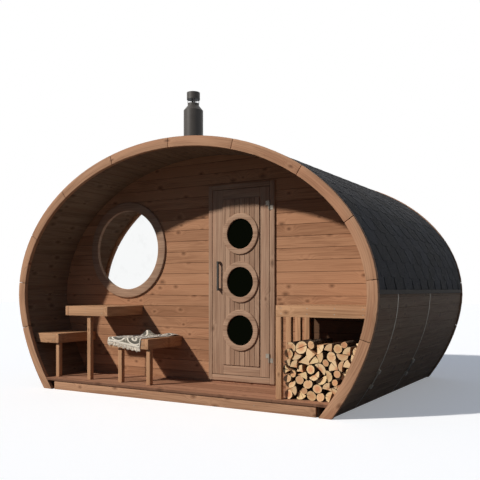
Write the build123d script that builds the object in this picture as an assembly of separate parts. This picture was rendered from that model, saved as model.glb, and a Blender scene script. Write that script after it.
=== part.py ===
from build123d import *
import bisect
import math
import os
import random

os.makedirs("parts", exist_ok=True)

# Outdoor sauna with an oval shell, an open porch in front and a heated room behind it.
# The origin is on the ground at the middle, +X is the viewer's right, -Y is the porch
# end and +Z is up. Every size is in millimetres.

# Oval outline: half an ellipse above the widest line, a flatter curve below it
shell_width = 4000
shell_length = 2900
widest_height = 968
crown_rise = 1450
belly_depth = 1898.5
belly_power = 1.74
outline_steps = 1500
outline_end_angle = 135

# Shell boards: bevelled staves laid side by side, and a sawn ring of boards at each end
stave_pitch = 95
stave_thickness = 45
stave_bevel = 3
stave_joint = 0.1
foot_allowance = 70
ring_width = 90
ring_thickness = 40
ring_proud = 14
ring_board_lengths = [710, 720, 625, 535, 495]
ring_joint = 1.2
ring_foot_allowance = 130

# Roof covering, its edge strips and the clearance between fitted pieces
fit_gap = 0.3
shingle_thickness = 9.7
shingle_edge_height = 990
edge_strip_width = 36
edge_strip_thickness = 2.5

# Floor and the boards that close the shell below it
floor_top = 112
floor_thickness = 24
fascia_height = 85
fascia_setback = 12
fascia_slit = 26
joist_width = 48
joist_count = 5

# Walls
wall_thickness = 45
porch_depth = 630
rear_wall_recess = 80

# Door: frame in the wall, leaf with stiles, rails, a boarded panel and three portholes
door_frame_left = 38
door_frame_right = 780
door_frame_bottom = 136
door_frame_top = 2050
jamb_left_width = 42
jamb_right_width = 51
head_height = 45
sill_rail_height = 56
door_frame_proud = 20
door_gap = 5
leaf_thickness = 42
stop_reach = 14
handle_stile_width = 126
hinge_stile_width = 102
rail_height = 98
panel_thickness = 34
panel_proud = 12
porthole_radius = 145
porthole_ring_radius = 199
porthole_ring_thickness = 15
porthole_seat = 8
porthole_pitch = 465
porthole_middle_height = 1098
porthole_glass_thickness = 20
porthole_pane_sides = 16

# Door furniture
handle_inset = 88
handle_bottom = 1016
handle_top = 1302
handle_width = 20
handle_thickness = 12
handle_reach = 34
handle_mount_height = 24
hinge_knuckle_radius = 6
hinge_axis_proud = 8
hinge_height = 84
hinge_plate_width = 38
hinge_plate_thickness = 3
hinge_pin_radius = 4
hinge_pin_clearance = 0.08
hinge_knuckle_sides = 8
hinge_knuckle_gap = 0.6
hinge_low_middle = 380
hinge_high_middle = 1820

# Round window
window_table_gap = 79
window_shell_gap = 95
window_glass_radius = 420
window_trim_radius = 515
window_trim_thickness = 20
window_seat = 9
window_unit_thickness = 24
window_pane_sides = 24

# Porch furniture
seat_front_setback = 85
front_board_thickness = 28
side_board_thickness = 45
top_board_thickness = 28
furniture_leg = 45
table_width = 574
table_top_height = 857
table_board_height = 97
table_leg_inset = 299
left_bench_width = 363
left_bench_height = 565
bench_board_height = 98
left_bench_leg_inset = 21
left_bench_table_gap = 104
right_bench_table_gap = 17
right_bench_width = 500
right_bench_height = 553
right_bench_leg_inset = 100

# Firewood store
store_width = 838
store_lintel_top = 895
store_lintel_height = 95
store_lintel_thickness = 45
store_cover_thickness = 28
store_post_width = 52
store_post_depth = 42
store_post_count = 4

# Firewood: round, half and quarter logs dropped one by one onto the stack
log_length = 430
log_setback = 16
log_stagger = 22
log_clearance = 0.4
stack_height = 500
round_log_radius = (29, 46)
half_log_radius = (44, 60)
quarter_log_radius = (66, 92)
wedge_log_radius = (80, 104)
quarter_log_angle = (75, 95)
wedge_log_angle = (42, 58)
log_squash = (0.86, 1.0)
round_log_share = 0.3
half_log_share = 0.25
quarter_log_share = 0.3
log_tries = 260
log_places = 26
log_seed = 14

# Straps round the shell and their tension fittings
strap_front_setback = 545
strap_spacing = 999
strap_count = 2
strap_width = 18
strap_thickness = 1.4
lug_high_height = 335
lug_low_height = 205
lug_length = 34
lug_width = 36
lug_thickness = 22
tension_bar_radius = 6

# Chimney
chimney_x = -425
chimney_y = -450
chimney_radius = 105
chimney_flue_radius = 58
chimney_shoulder_bottom = 2960
chimney_shoulder_top = 3013
chimney_neck_radius = 62
chimney_neck_top = 3038
chimney_strut_width = 16
chimney_strut_count = 4
chimney_cap_radius = 71
chimney_cap_bottom = 3080
chimney_cap_edge = 3155
chimney_top = 3167
chimney_inside_reach = 140
chimney_roof_gap = 8
flashing_side_count = 8
flashing_reach = 172
flashing_rise = 110
flashing_thickness = 3

# Throw on the right bench
throw_thickness = 6
throw_clearance = 0.6
throw_left_overhang = 6
throw_right_inset = 95
throw_back_left_inset = 110
throw_back_right_inset = 30
throw_back_setback = 420
throw_drop_left = 62
throw_drop_right = 128

half_length = shell_length / 2
ring_front = -half_length
stave_front = ring_front + ring_thickness
stave_rear = -stave_front
stave_inside = ring_proud + stave_thickness
wall_front = ring_front + porch_depth
wall_back = wall_front + wall_thickness
rear_wall_back = half_length - rear_wall_recess
rear_wall_front = rear_wall_back - wall_thickness
floor_bottom = floor_top - floor_thickness


def outline_at(angle):
    """Point of the oval's right half; the angle is 0 degrees at the crown and 90 at the widest line."""
    side = math.sin(math.radians(angle))
    rise = math.cos(math.radians(angle))
    if rise >= 0:
        return (shell_width / 2 * side, widest_height + crown_rise * rise)
    power = 2 / belly_power
    return (shell_width / 2 * side ** power, widest_height - belly_depth * (-rise) ** power)


def measure_outline():
    """Points of the right half of the outline, and how far each lies from the crown along it."""
    points = [outline_at(outline_end_angle * i / outline_steps) for i in range(outline_steps + 1)]
    distances = [0.0]
    for first, second in zip(points, points[1:]):
        distances.append(distances[-1] + math.dist(first, second))
    return points, distances


outline_points, outline_distances = measure_outline()


def outline_point(distance, depth=0.0):
    """Point at this distance from the crown, to the right, and this deep inside the outline."""
    last = len(outline_points) - 2
    index = min(max(bisect.bisect_right(outline_distances, distance) - 1, 0), last)
    first, second = outline_points[index], outline_points[index + 1]
    span = outline_distances[index + 1] - outline_distances[index]
    share = (distance - outline_distances[index]) / span
    along = ((second[0] - first[0]) / span, (second[1] - first[1]) / span)
    x = first[0] + (second[0] - first[0]) * share + along[1] * depth
    z = first[1] + (second[1] - first[1]) * share - along[0] * depth
    return (x, z)


def distance_at_height(height):
    """Distance from the crown at which the outline comes down to this height."""
    low, high = 0.0, outline_distances[-1]
    for _ in range(60):
        middle = (low + high) / 2
        if outline_point(middle)[1] > height:
            low = middle
        else:
            high = middle
    return low


ground_distance = distance_at_height(0)
stave_count = round((ground_distance + foot_allowance) / stave_pitch)
stave_width = (ground_distance + foot_allowance) / stave_count
roof_stave_count = round(distance_at_height(shingle_edge_height) / stave_width)


def stave_corner(index, depth):
    """Corner between two flat staves on the right side, this deep inside the outline."""
    here = outline_point(index * stave_width)
    after = outline_point((index + 1) * stave_width)
    before = outline_point((index - 1) * stave_width) if index else (-after[0], after[1])
    one = math.atan2(here[1] - before[1], here[0] - before[0])
    two = math.atan2(after[1] - here[1], after[0] - here[0])
    reach = depth / math.cos((two - one) / 2)
    middle = (one + two) / 2
    return (here[0] + reach * math.sin(middle), here[1] - reach * math.cos(middle))


def shell_point(place, depth):
    """Point on a flat stave; the place counts staves from the crown and may be a fraction."""
    index = min(int(place), stave_count - 1)
    first, second = stave_corner(index, depth), stave_corner(index + 1, depth)
    share = place - index
    return (first[0] + (second[0] - first[0]) * share, first[1] + (second[1] - first[1]) * share)


def shell_place(height, depth):
    """Place along the staves of the right side, this deep, where the shell comes to this height."""
    low, high = 0.0, stave_count + 1.0
    for _ in range(50):
        middle = (low + high) / 2
        if shell_point(middle, depth)[1] > height:
            low = middle
        else:
            high = middle
    return low


def inside_x(height, depth=stave_inside, clearance=fit_gap):
    """Half the width between the shell's inner faces, this deep, at this height."""
    return shell_point(shell_place(height, depth), depth)[0] - clearance


def strip_outline(start, end, outer, inner):
    """Outline of a band that follows the flats of the right side's staves, between two depths."""
    places = [start] + list(range(math.floor(start) + 1, math.ceil(end))) + [end]
    top = [shell_point(place, outer) for place in places]
    return top + [shell_point(place, inner) for place in reversed(places)]


def prism(points, front, rear):
    """Solid with this outline seen from the front, between two places along Y."""
    face = Plane.XZ.offset(-rear) * Polygon(*points, align=None)
    return extrude(face, rear - front, dir=(0, -1, 0))


def block(x_range, y_range, z_range):
    """Straight timber between two X, two Y and two Z values."""
    size = [high - low for low, high in (x_range, y_range, z_range)]
    middle = [(low + high) / 2 for low, high in (x_range, y_range, z_range)]
    return Pos(*middle) * Box(*size)


def rod(start, end, radius):
    """Round bar between two points."""
    direction = Vector(*end) - Vector(*start)
    circle = Plane(origin=start, z_dir=direction) * Circle(radius)
    return extrude(circle, direction.length)


def save(name, shapes):
    """Write one named sub-part, made of one or more separate solids."""
    solids = [solid for shape in shapes for solid in shape.solids()]
    export_step(Compound(children=solids), f"parts/{name}.step")


def mirrored(shapes):
    """The same pieces on the left side."""
    return [mirror(shape, about=Plane.YZ) for shape in shapes]


above_ground = block(
    (-shell_width, shell_width), (-shell_length, shell_length), (0, 2 * shell_width)
)


def chimney_opening():
    """Square opening sawn through the roof for the chimney."""
    half = chimney_radius + chimney_roof_gap
    x_range = (chimney_x - half, chimney_x + half)
    return block(x_range, (chimney_y - half, chimney_y + half), (widest_height, chimney_top))


def stave(index, bevel_outside):
    """One board of the right side, as long as the shell, with its corners bevelled where they show."""
    joint = stave_joint / 2 / stave_width
    bevel = stave_bevel / stave_width
    start, end = index + joint, index + 1 - joint
    outer, inner = ring_proud, stave_inside
    points = [
        shell_point(end, inner - stave_bevel),
        shell_point(end - bevel, inner),
        shell_point(start + bevel, inner),
        shell_point(start, inner - stave_bevel),
    ]
    if bevel_outside:
        points += [
            shell_point(start, outer + stave_bevel),
            shell_point(start + bevel, outer),
            shell_point(end - bevel, outer),
            shell_point(end, outer + stave_bevel),
        ]
    else:
        points += [shell_point(start, outer), shell_point(end, outer)]
    board = prism(points, stave_front, stave_rear)
    if min(z for _, z in points) < 0:
        board = board & above_ground
    return board


def make_staves():
    """Roof and wall staves of both sides, with the opening for the chimney sawn out."""
    roof = [stave(index, False) for index in range(roof_stave_count)]
    wall = [stave(index, True) for index in range(roof_stave_count, stave_count)]
    opening = chimney_opening()
    left_roof = [board - opening for board in mirrored(roof)]
    save("right_roof_staves", roof)
    save("right_wall_staves", wall)
    save("left_roof_staves", left_roof)
    save("left_wall_staves", mirrored(wall))


def make_rings():
    """Front and rear rings: boards butted end to end from the crown to the ground."""
    ends = [0.0]
    for length in ring_board_lengths:
        if ends[-1] + length < ground_distance - ring_width:
            ends.append(ends[-1] + length)
    ends.append(ground_distance + ring_foot_allowance)
    joint = ring_joint / 2
    for name, front in (("front_ring", ring_front), ("rear_ring", half_length - ring_thickness)):
        boards = []
        for start, end in zip(ends, ends[1:]):
            places = ((start + joint) / stave_width, (end - joint) / stave_width)
            board = prism(strip_outline(*places, 0, ring_width), front, front + ring_thickness)
            boards.append(board & above_ground)
        save(name, boards + mirrored(boards))


def make_floor():
    """Porch and room floors on joists, and the low boards that close both ends."""
    def slab(front, rear, depth):
        low, high = inside_x(floor_bottom, depth), inside_x(floor_top, depth)
        points = [(-low, floor_bottom), (low, floor_bottom), (high, floor_top), (-high, floor_top)]
        return prism(points, front, rear)

    nosing = slab(ring_front, stave_front + fit_gap, ring_width)
    porch = slab(stave_front + fit_gap, wall_back, stave_inside)
    save("porch_floor", [nosing + porch])
    save("room_floor", [slab(wall_back + fit_gap, stave_rear - fit_gap, stave_inside)])

    half = inside_x(0, ring_width) - fascia_slit
    front = ring_front + fascia_setback
    front_board = block((-half, half), (front, stave_front), (0, fascia_height))
    rear_low, rear_high = inside_x(0, ring_width), inside_x(floor_top, ring_width)
    points = [(-rear_low, 0), (rear_low, 0), (rear_high, floor_top), (-rear_high, floor_top)]
    save("end_fascias", [front_board, prism(points, stave_rear, half_length - fit_gap)])

    reach = inside_x(0) - joist_width
    spacing = (2 * reach - joist_width) / (joist_count - 1)
    joists = []
    for i in range(joist_count):
        left = -reach + i * spacing
        z_range = (0, floor_bottom - fit_gap)
        y_range = (stave_front + fit_gap, stave_rear - fit_gap)
        joists.append(block((left, left + joist_width), y_range, z_range))
    save("floor_joists", joists)


def wall_blank(front):
    """A whole end wall that fills the shell above the floor."""
    depth = stave_inside + fit_gap
    right = [shell_point(place, depth) for place in range(stave_count)]
    left = [(-x, z) for x, z in reversed(right[1:])]
    whole = prism(left + right, front, front + wall_thickness)
    bottom = floor_top + fit_gap
    return whole & block(
        (-shell_width, shell_width), (-shell_length, shell_length), (bottom, 2 * shell_width)
    )


window_height = table_top_height + window_table_gap + window_trim_radius


def window_place():
    """X of the round window's middle, where its ring comes nearest to the staves by the named gap."""
    inner = [shell_point(place, stave_inside) for place in range(stave_count)]
    low, high = 0.0, shell_width / 2
    for _ in range(50):
        middle = (low + high) / 2
        nearest = min(math.dist(point, (middle, window_height)) for point in inner)
        if nearest > window_trim_radius + window_shell_gap:
            low = middle
        else:
            high = middle
    return -low


window_x = window_place()


def make_walls():
    """Front wall in pieces round the door frame and the round window, and the plain rear wall."""
    blank = wall_blank(wall_front)
    y_range = (wall_front - wall_thickness, wall_back + wall_thickness)
    tall = (0, 2 * shell_width)
    left_end, right_end = door_frame_left - fit_gap, door_frame_right + fit_gap
    hole_radius = window_glass_radius + window_seat
    hole = Pos(window_x, wall_front, window_height) * Rot(90, 0, 0) * Cylinder(
        hole_radius, 4 * wall_thickness
    )
    save("front_wall_left", [(blank & block((-shell_width, left_end), y_range, tall)) - hole])
    save("front_wall_right", [blank & block((right_end, shell_width), y_range, tall)])
    over = (door_frame_top + fit_gap, 2 * shell_width)
    save("front_wall_over_door", [blank & block((left_end + fit_gap, right_end - fit_gap), y_range, over)])
    sill = (floor_top + fit_gap, door_frame_bottom - fit_gap)
    sill_x = (left_end + fit_gap, right_end - fit_gap)
    save("door_sill", [block(sill_x, (wall_front, wall_back), sill)])
    save("rear_wall", [wall_blank(rear_wall_front)])


leaf_left = door_frame_left + jamb_left_width + door_gap
leaf_right = door_frame_right - jamb_right_width - door_gap
leaf_bottom = door_frame_bottom + sill_rail_height + door_gap
leaf_top = door_frame_top - head_height - door_gap
leaf_front = wall_front - door_frame_proud
leaf_back = leaf_front + leaf_thickness
panel_left = leaf_left + handle_stile_width
panel_right = leaf_right - hinge_stile_width
porthole_x = (panel_left + panel_right) / 2
panel_front = leaf_front - panel_proud
panel_back = panel_front + panel_thickness


def make_door_frame():
    """Jambs, head and bottom rail of the door frame, with the strips that the leaf closes on."""
    inner_left, inner_right = leaf_left - door_gap, leaf_right + door_gap
    inner_bottom, inner_top = leaf_bottom - door_gap, leaf_top + door_gap
    y_range = (leaf_front, wall_back)
    z_range = (door_frame_bottom, door_frame_top)
    between = (inner_left + fit_gap, inner_right - fit_gap)
    stop_y = (leaf_back + door_gap, wall_back)
    stop_left = (inner_left + fit_gap, inner_left + stop_reach)
    stop_right = (inner_right - stop_reach, inner_right - fit_gap)
    stop_z = (inner_bottom + stop_reach + fit_gap, inner_top - stop_reach - fit_gap)
    save("door_frame", [
        block((door_frame_left, inner_left), y_range, z_range),
        block((inner_right, door_frame_right), y_range, z_range),
        block(between, y_range, (door_frame_bottom, inner_bottom)),
        block(between, y_range, (inner_top, door_frame_top)),
        block(stop_left, stop_y, stop_z),
        block(stop_right, stop_y, stop_z),
        block(between, stop_y, (inner_bottom + fit_gap, inner_bottom + stop_reach)),
        block(between, stop_y, (inner_top - stop_reach, inner_top - fit_gap)),
    ])


def porthole_heights():
    """Heights of the three portholes."""
    return [porthole_middle_height + step * porthole_pitch for step in (-1, 0, 1)]


def disc(x, z, front, rear, radius):
    """Round solid with its axis along Y."""
    return Pos(x, (front + rear) / 2, z) * Rot(90, 0, 0) * Cylinder(radius, rear - front)


def pane(x, z, front, rear, radius, sides):
    """Glass pane cut with straight edges; the ring in front of it hides them."""
    turns = [2 * math.pi * number / sides for number in range(sides)]
    points = [(x + radius * math.cos(turn), z + radius * math.sin(turn)) for turn in turns]
    return prism(points, front, rear)


def trim_ring(x, z, seat_face, thickness, outer, inner):
    """Turned wooden ring that lies in front of a face."""
    back, front = seat_face - fit_gap, seat_face - thickness
    return disc(x, z, front, back, outer) - disc(x, z, front - fit_gap, back + fit_gap, inner)


def make_door_leaf():
    """Leaf: two stiles, two rails, a raised boarded panel, and three ringed portholes with glass."""
    y_range = (leaf_front, leaf_back)
    z_range = (leaf_bottom, leaf_top)
    panel_bottom, panel_top = leaf_bottom + rail_height, leaf_top - rail_height
    between = (panel_left + fit_gap, panel_right - fit_gap)
    save("door_leaf_frame", [
        block((leaf_left, panel_left), y_range, z_range),
        block((panel_right, leaf_right), y_range, z_range),
        block(between, y_range, (leaf_bottom, panel_bottom)),
        block(between, y_range, (panel_top, leaf_top)),
    ])
    panel = block(between, (panel_front, panel_back), (panel_bottom + fit_gap, panel_top - fit_gap))
    hole_radius = porthole_radius + porthole_seat
    glass_back = panel_front + porthole_glass_thickness
    rings, glasses = [], []
    for z in porthole_heights():
        panel = panel - disc(porthole_x, z, panel_front - fit_gap, panel_back + fit_gap, hole_radius)
        rings.append(trim_ring(
            porthole_x, z, panel_front, porthole_ring_thickness,
            porthole_ring_radius, porthole_radius,
        ))
        pane_radius = hole_radius - fit_gap
        glasses.append(pane(porthole_x, z, panel_front, glass_back, pane_radius, porthole_pane_sides))
    save("door_panel", [panel])
    save("porthole_rings", rings)
    save("porthole_glass", glasses)


def make_door_handle():
    """Upright flat pull on two short mounts."""
    x = leaf_left + handle_inset
    bar_back = leaf_front - handle_reach
    x_range = (x - handle_width / 2, x + handle_width / 2)
    bar_y = (bar_back - handle_thickness, bar_back)
    save("door_handle", [block(x_range, bar_y, (handle_bottom, handle_top))])
    mount_y = (bar_back + fit_gap, leaf_front)
    low = (handle_bottom, handle_bottom + handle_mount_height)
    high = (handle_top - handle_mount_height, handle_top)
    save("handle_mounts", [block(x_range, mount_y, low), block(x_range, mount_y, high)])


hinge_x = leaf_right + door_gap / 2
hinge_y = leaf_front - hinge_axis_proud


def knuckle(low, high):
    """Eight-sided hinge knuckle between two heights on the hinge's axis."""
    outline = Plane.XY.offset(low) * RegularPolygon(hinge_knuckle_radius, hinge_knuckle_sides)
    return Pos(hinge_x, hinge_y, 0) * extrude(outline, high - low)


def make_hinges():
    """Lift-off hinges: the lower knuckle and its pin are on the frame, the upper one on the leaf."""
    fixed, moving = [], []
    for middle in (hinge_low_middle, hinge_high_middle):
        bottom, top = middle - hinge_height / 2, middle + hinge_height / 2
        low_end, high_start = middle - hinge_knuckle_gap / 2, middle + hinge_knuckle_gap / 2
        plate_y = (leaf_front - hinge_plate_thickness, leaf_front - fit_gap)
        plate_reach = (hinge_x, hinge_x + hinge_plate_width)
        lower = knuckle(bottom, low_end) + block(plate_reach, plate_y, (bottom, low_end))
        pin_top = top - hinge_plate_thickness
        lower = lower + rod((hinge_x, hinge_y, bottom), (hinge_x, hinge_y, pin_top), hinge_pin_radius)
        upper = knuckle(high_start, top)
        upper = upper + block((hinge_x - hinge_plate_width, hinge_x), plate_y, (high_start, top))
        bore_top = pin_top + hinge_knuckle_gap
        bore_radius = hinge_pin_radius + hinge_pin_clearance
        upper = upper - rod((hinge_x, hinge_y, middle), (hinge_x, hinge_y, bore_top), bore_radius)
        fixed.append(lower)
        moving.append(upper)
    save("frame_hinges", fixed)
    save("leaf_hinges", moving)


def make_round_window():
    """Sealed glass unit in the front wall, covered round its edge by a turned ring."""
    save("round_window_trim", [trim_ring(
        window_x, window_height, wall_front, window_trim_thickness,
        window_trim_radius, window_glass_radius,
    )])
    back = wall_front + window_unit_thickness
    radius = window_glass_radius + window_seat - fit_gap
    glass = pane(window_x, window_height, wall_front, back, radius, window_pane_sides)
    save("round_window_glass", [glass])


seat_front = ring_front + seat_front_setback
seat_back = wall_front - fit_gap
left_bench_right = left_bench_width - inside_x(left_bench_height)
table_left = left_bench_right + left_bench_table_gap
table_right = table_left + table_width
right_bench_left = table_right + right_bench_table_gap
right_bench_right = right_bench_left + right_bench_width
store_left = inside_x(store_lintel_top) - store_width


def seat_pieces(left, right, top, board_height):
    """Boards of a table or bench: the front board, the right side board and the top's own range."""
    bottom = top - board_height
    side_left = right - side_board_thickness
    side = block((side_left, right), (seat_front, seat_back), (bottom, top))
    front_back = seat_front + front_board_thickness
    front = block((left, side_left - fit_gap), (seat_front, front_back), (bottom, top))
    return front, side, (front_back + fit_gap, seat_back), (left, side_left - fit_gap)


def leg(middle, front, top):
    """Square leg standing on the porch floor."""
    x_range = (middle - furniture_leg / 2, middle + furniture_leg / 2)
    return block(x_range, (front, front + furniture_leg), (floor_top + fit_gap, top))


def make_table():
    """Table with a deep front board and side boards, one leg in front and the wall behind."""
    inner_left = table_left + side_board_thickness + fit_gap
    front, side, top_y, top_x = seat_pieces(
        inner_left, table_right, table_top_height, table_board_height
    )
    z_range = (table_top_height - table_board_height, table_top_height)
    left_side = block((table_left, inner_left - fit_gap), (seat_front, seat_back), z_range)
    under_top = table_top_height - top_board_thickness - fit_gap
    table_leg = leg(table_left + table_leg_inset, top_y[0], under_top)
    save("table_frame", [front, side, left_side, table_leg])
    save("table_top", [block(top_x, top_y, (table_top_height - top_board_thickness, table_top_height))])


def make_left_bench():
    """Bench between the shell and the table, its left end sawn to the shell's slope."""
    top, bottom = left_bench_height, left_bench_height - bench_board_height
    top_under = top - top_board_thickness
    side_left = left_bench_right - side_board_thickness

    def to_shell(right, low, high, front, rear):
        points = [(-inside_x(low), low), (right, low), (right, high), (-inside_x(high), high)]
        return prism(points, front, rear)

    front_back = seat_front + front_board_thickness
    front = to_shell(side_left - fit_gap, bottom, top, seat_front, front_back)
    side = block((side_left, left_bench_right), (seat_front, seat_back), (bottom, top))
    leg_middle = left_bench_right - left_bench_leg_inset - furniture_leg / 2
    leg_front = front_back + fit_gap
    save("left_bench_frame", [front, side, leg(leg_middle, leg_front, bottom - fit_gap)])
    right = side_left - fit_gap
    save("left_bench_top", [to_shell(right, top_under, top, front_back + fit_gap, seat_back)])


def make_right_bench():
    """Bench beside the door with two front legs."""
    inner_left = right_bench_left + side_board_thickness + fit_gap
    top, bottom = right_bench_height, right_bench_height - bench_board_height
    front, side, top_y, top_x = seat_pieces(inner_left, right_bench_right, top, bench_board_height)
    left_side = block((right_bench_left, inner_left - fit_gap), (seat_front, seat_back), (bottom, top))
    under_top = top - top_board_thickness - fit_gap
    left_leg = leg(right_bench_left + right_bench_leg_inset + furniture_leg / 2, top_y[0], under_top)
    right_leg = leg(right_bench_right - furniture_leg / 2, top_y[0], bottom - fit_gap)
    save("right_bench_frame", [front, side, left_side, left_leg, right_leg])
    save("right_bench_top", [block(top_x, top_y, (top - top_board_thickness, top))])


def make_wood_store():
    """Covered store at the right: a deep front board, a flat cover and four side posts."""
    top, bottom = store_lintel_top, store_lintel_top - store_lintel_height
    under_cover = top - store_cover_thickness
    front, back = stave_front + fit_gap, stave_front + store_lintel_thickness

    def to_shell(low, high, y_front, y_rear):
        points = [(store_left, low), (inside_x(low), low), (inside_x(high), high), (store_left, high)]
        return prism(points, y_front, y_rear)

    save("store_lintel", [to_shell(bottom, top, front, back)])
    save("store_cover", [to_shell(under_cover, top, back + fit_gap, seat_back)])
    posts = []
    span = seat_back - store_post_depth - front
    for i in range(store_post_count):
        y = front + span * i / (store_post_count - 1)
        z_top = bottom if i == 0 else under_cover
        x_range = (store_left, store_left + store_post_width)
        z_range = (floor_top + fit_gap, z_top - fit_gap)
        posts.append(block(x_range, (y, y + store_post_depth), z_range))
    save("store_posts", posts)


def arc_points(radius, angle, steps):
    """Points along an arc round the origin, from the X axis to this angle."""
    angles = [math.radians(angle * i / steps) for i in range(steps + 1)]
    return [(radius * math.cos(angle), radius * math.sin(angle)) for angle in angles]


def log_outline(chance):
    """End grain outline of one log: round, split in half, in quarters or into a thin wedge."""
    kind = chance.random()
    if kind < round_log_share:
        points = arc_points(chance.uniform(*round_log_radius), 315, 7)
    elif kind < round_log_share + half_log_share:
        points = arc_points(chance.uniform(*half_log_radius), 180, 6)
    elif kind < round_log_share + half_log_share + quarter_log_share:
        radius = chance.uniform(*quarter_log_radius)
        points = arc_points(radius, chance.uniform(*quarter_log_angle), 3) + [(0, 0)]
    else:
        radius = chance.uniform(*wedge_log_radius)
        points = arc_points(radius, chance.uniform(*wedge_log_angle), 2) + [(0, 0)]
    turn = math.radians(chance.uniform(0, 360))
    squash = chance.uniform(*log_squash)
    cos_turn, sin_turn = math.cos(turn), math.sin(turn)
    return [(x * cos_turn - y * squash * sin_turn, x * sin_turn + y * squash * cos_turn) for x, y in points]


def spans_at(points, x):
    """Lowest and highest point of a convex outline on an upright line, or None beside it."""
    heights = []
    for (x1, z1), (x2, z2) in zip(points, points[1:] + points[:1]):
        if min(x1, x2) <= x <= max(x1, x2):
            heights.append(z1 if x1 == x2 else z1 + (z2 - z1) * (x - x1) / (x2 - x1))
            if x1 == x2:
                heights.append(z2)
    return (min(heights), max(heights)) if heights else None


def drop_height(outline, x, placed, floor_line):
    """Lowest height at which an outline, moved to x, lies on the floor line or the placed logs."""
    moved = [(px + x, pz) for px, pz in outline]
    low_x, high_x = min(px for px, _ in moved), max(px for px, _ in moved)
    height = max(floor_line(px) - pz for px, pz in moved)
    for other in placed:
        other_low, other_high = min(px for px, _ in other), max(px for px, _ in other)
        if other_low >= high_x or other_high <= low_x:
            continue
        for px in [px for px, _ in moved] + [px for px, _ in other]:
            mine, theirs = spans_at(moved, px), spans_at(other, px)
            if mine and theirs:
                height = max(height, theirs[1] - mine[0])
    return height + log_clearance


def make_firewood():
    """Stack of split logs between the posts, the floor and the sloping shell."""
    chance = random.Random(log_seed)
    left = store_left + store_post_width + log_clearance
    slope = [
        shell_point(place, stave_inside + log_clearance)
        for place in range(stave_count, roof_stave_count, -1)
    ]

    def floor_line(x):
        height = floor_top
        for (x1, z1), (x2, z2) in zip(slope, slope[1:]):
            if x1 <= x <= x2:
                height = max(height, z1 + (z2 - z1) * (x - x1) / (x2 - x1))
        return height + fit_gap

    limit = floor_top + stack_height
    furthest = inside_x(limit, clearance=log_clearance)
    placed, logs = [], []
    for _ in range(log_tries):
        outline = log_outline(chance)
        reach_left = -min(x for x, _ in outline)
        reach_right = max(x for x, _ in outline)
        start, end = left + reach_left, furthest - reach_right
        if end <= start:
            continue
        places = [start + (end - start) * i / (log_places - 1) for i in range(log_places)]
        options = []
        for x in places:
            z = drop_height(outline, x, placed, floor_line)
            middle = sum(pz for _, pz in outline) / len(outline)
            options.append((z + middle, x, z))
        _, x, z = min(options)
        moved = [(px + x, pz + z) for px, pz in outline]
        if max(pz for _, pz in moved) > limit:
            continue
        placed.append(moved)
        front = stave_front + log_setback + chance.uniform(0, log_stagger)
        logs.append(prism(moved, front, front + log_length + chance.uniform(-log_stagger, 0)))
    save("firewood", logs)


def make_roof():
    """Roof covering on both sides of the crown, with a thin strip along each lower edge."""
    inner = ring_proud - fit_gap
    outer = inner - shingle_thickness
    front, rear = stave_front + fit_gap, stave_rear - fit_gap
    edge_place = distance_at_height(shingle_edge_height) / stave_width
    crown_gap = fit_gap / stave_width
    cover = prism(strip_outline(crown_gap, edge_place, outer, inner), front, rear)
    save("right_shingles", [cover])
    left = mirror(cover, about=Plane.YZ) - chimney_opening()
    save("left_shingles", [left])
    strip_start = edge_place - edge_strip_width / stave_width
    strip_outer, strip_inner = outer - edge_strip_thickness, outer - fit_gap
    points = strip_outline(strip_start, edge_place, strip_outer, strip_inner)
    strip = prism(points, front, rear)
    save("roof_edge_strips", [strip] + mirrored([strip]))


def hexagon_bar(start, end):
    """Six-sided tension bar between two lugs."""
    direction = Vector(*end) - Vector(*start)
    hexagon = Plane(origin=start, z_dir=direction) * RegularPolygon(tension_bar_radius, 6)
    return extrude(hexagon, direction.length)


def make_straps():
    """Steel straps below the roof covering, each with two lugs and a tension bar."""
    inner = ring_proud - fit_gap
    outer = inner - strap_thickness
    edge_place = (distance_at_height(shingle_edge_height) + fit_gap) / stave_width
    high_place, low_place = shell_place(lug_high_height, outer), shell_place(lug_low_height, outer)
    half_lug = lug_length / 2 / stave_width
    foot_place = shell_place(fit_gap, outer)
    straps, lugs, bars = [], [], []
    for number in range(strap_count):
        middle = ring_front + strap_front_setback + number * strap_spacing
        y_range = (middle - strap_width / 2, middle + strap_width / 2)
        for start, end in ((edge_place, high_place - half_lug), (low_place + half_lug, foot_place)):
            straps.append(prism(strip_outline(start, end, outer, inner), *y_range))
        lug_y = (middle - lug_width / 2, middle + lug_width / 2)
        for place in (high_place, low_place):
            start, end = place - half_lug + fit_gap / stave_width, place + half_lug
            points = strip_outline(start, end - fit_gap / stave_width, inner - lug_thickness, inner)
            lugs.append(prism(points, *lug_y))
        bar_depth = inner - lug_thickness / 2
        high = shell_point(high_place + half_lug, bar_depth)
        low = shell_point(low_place - half_lug, bar_depth)
        bars.append(hexagon_bar((high[0], middle, high[1]), (low[0], middle, low[1])))
    save("straps", straps + mirrored(straps))
    save("strap_tensioners", lugs + bars + mirrored(lugs + bars))


def turned(points):
    """Round solid about the chimney's axis from radius and height pairs."""
    profile = Plane.XZ * Polygon(*points, align=None)
    return Pos(chimney_x, chimney_y, 0) * revolve(profile, Axis.Z)


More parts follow.
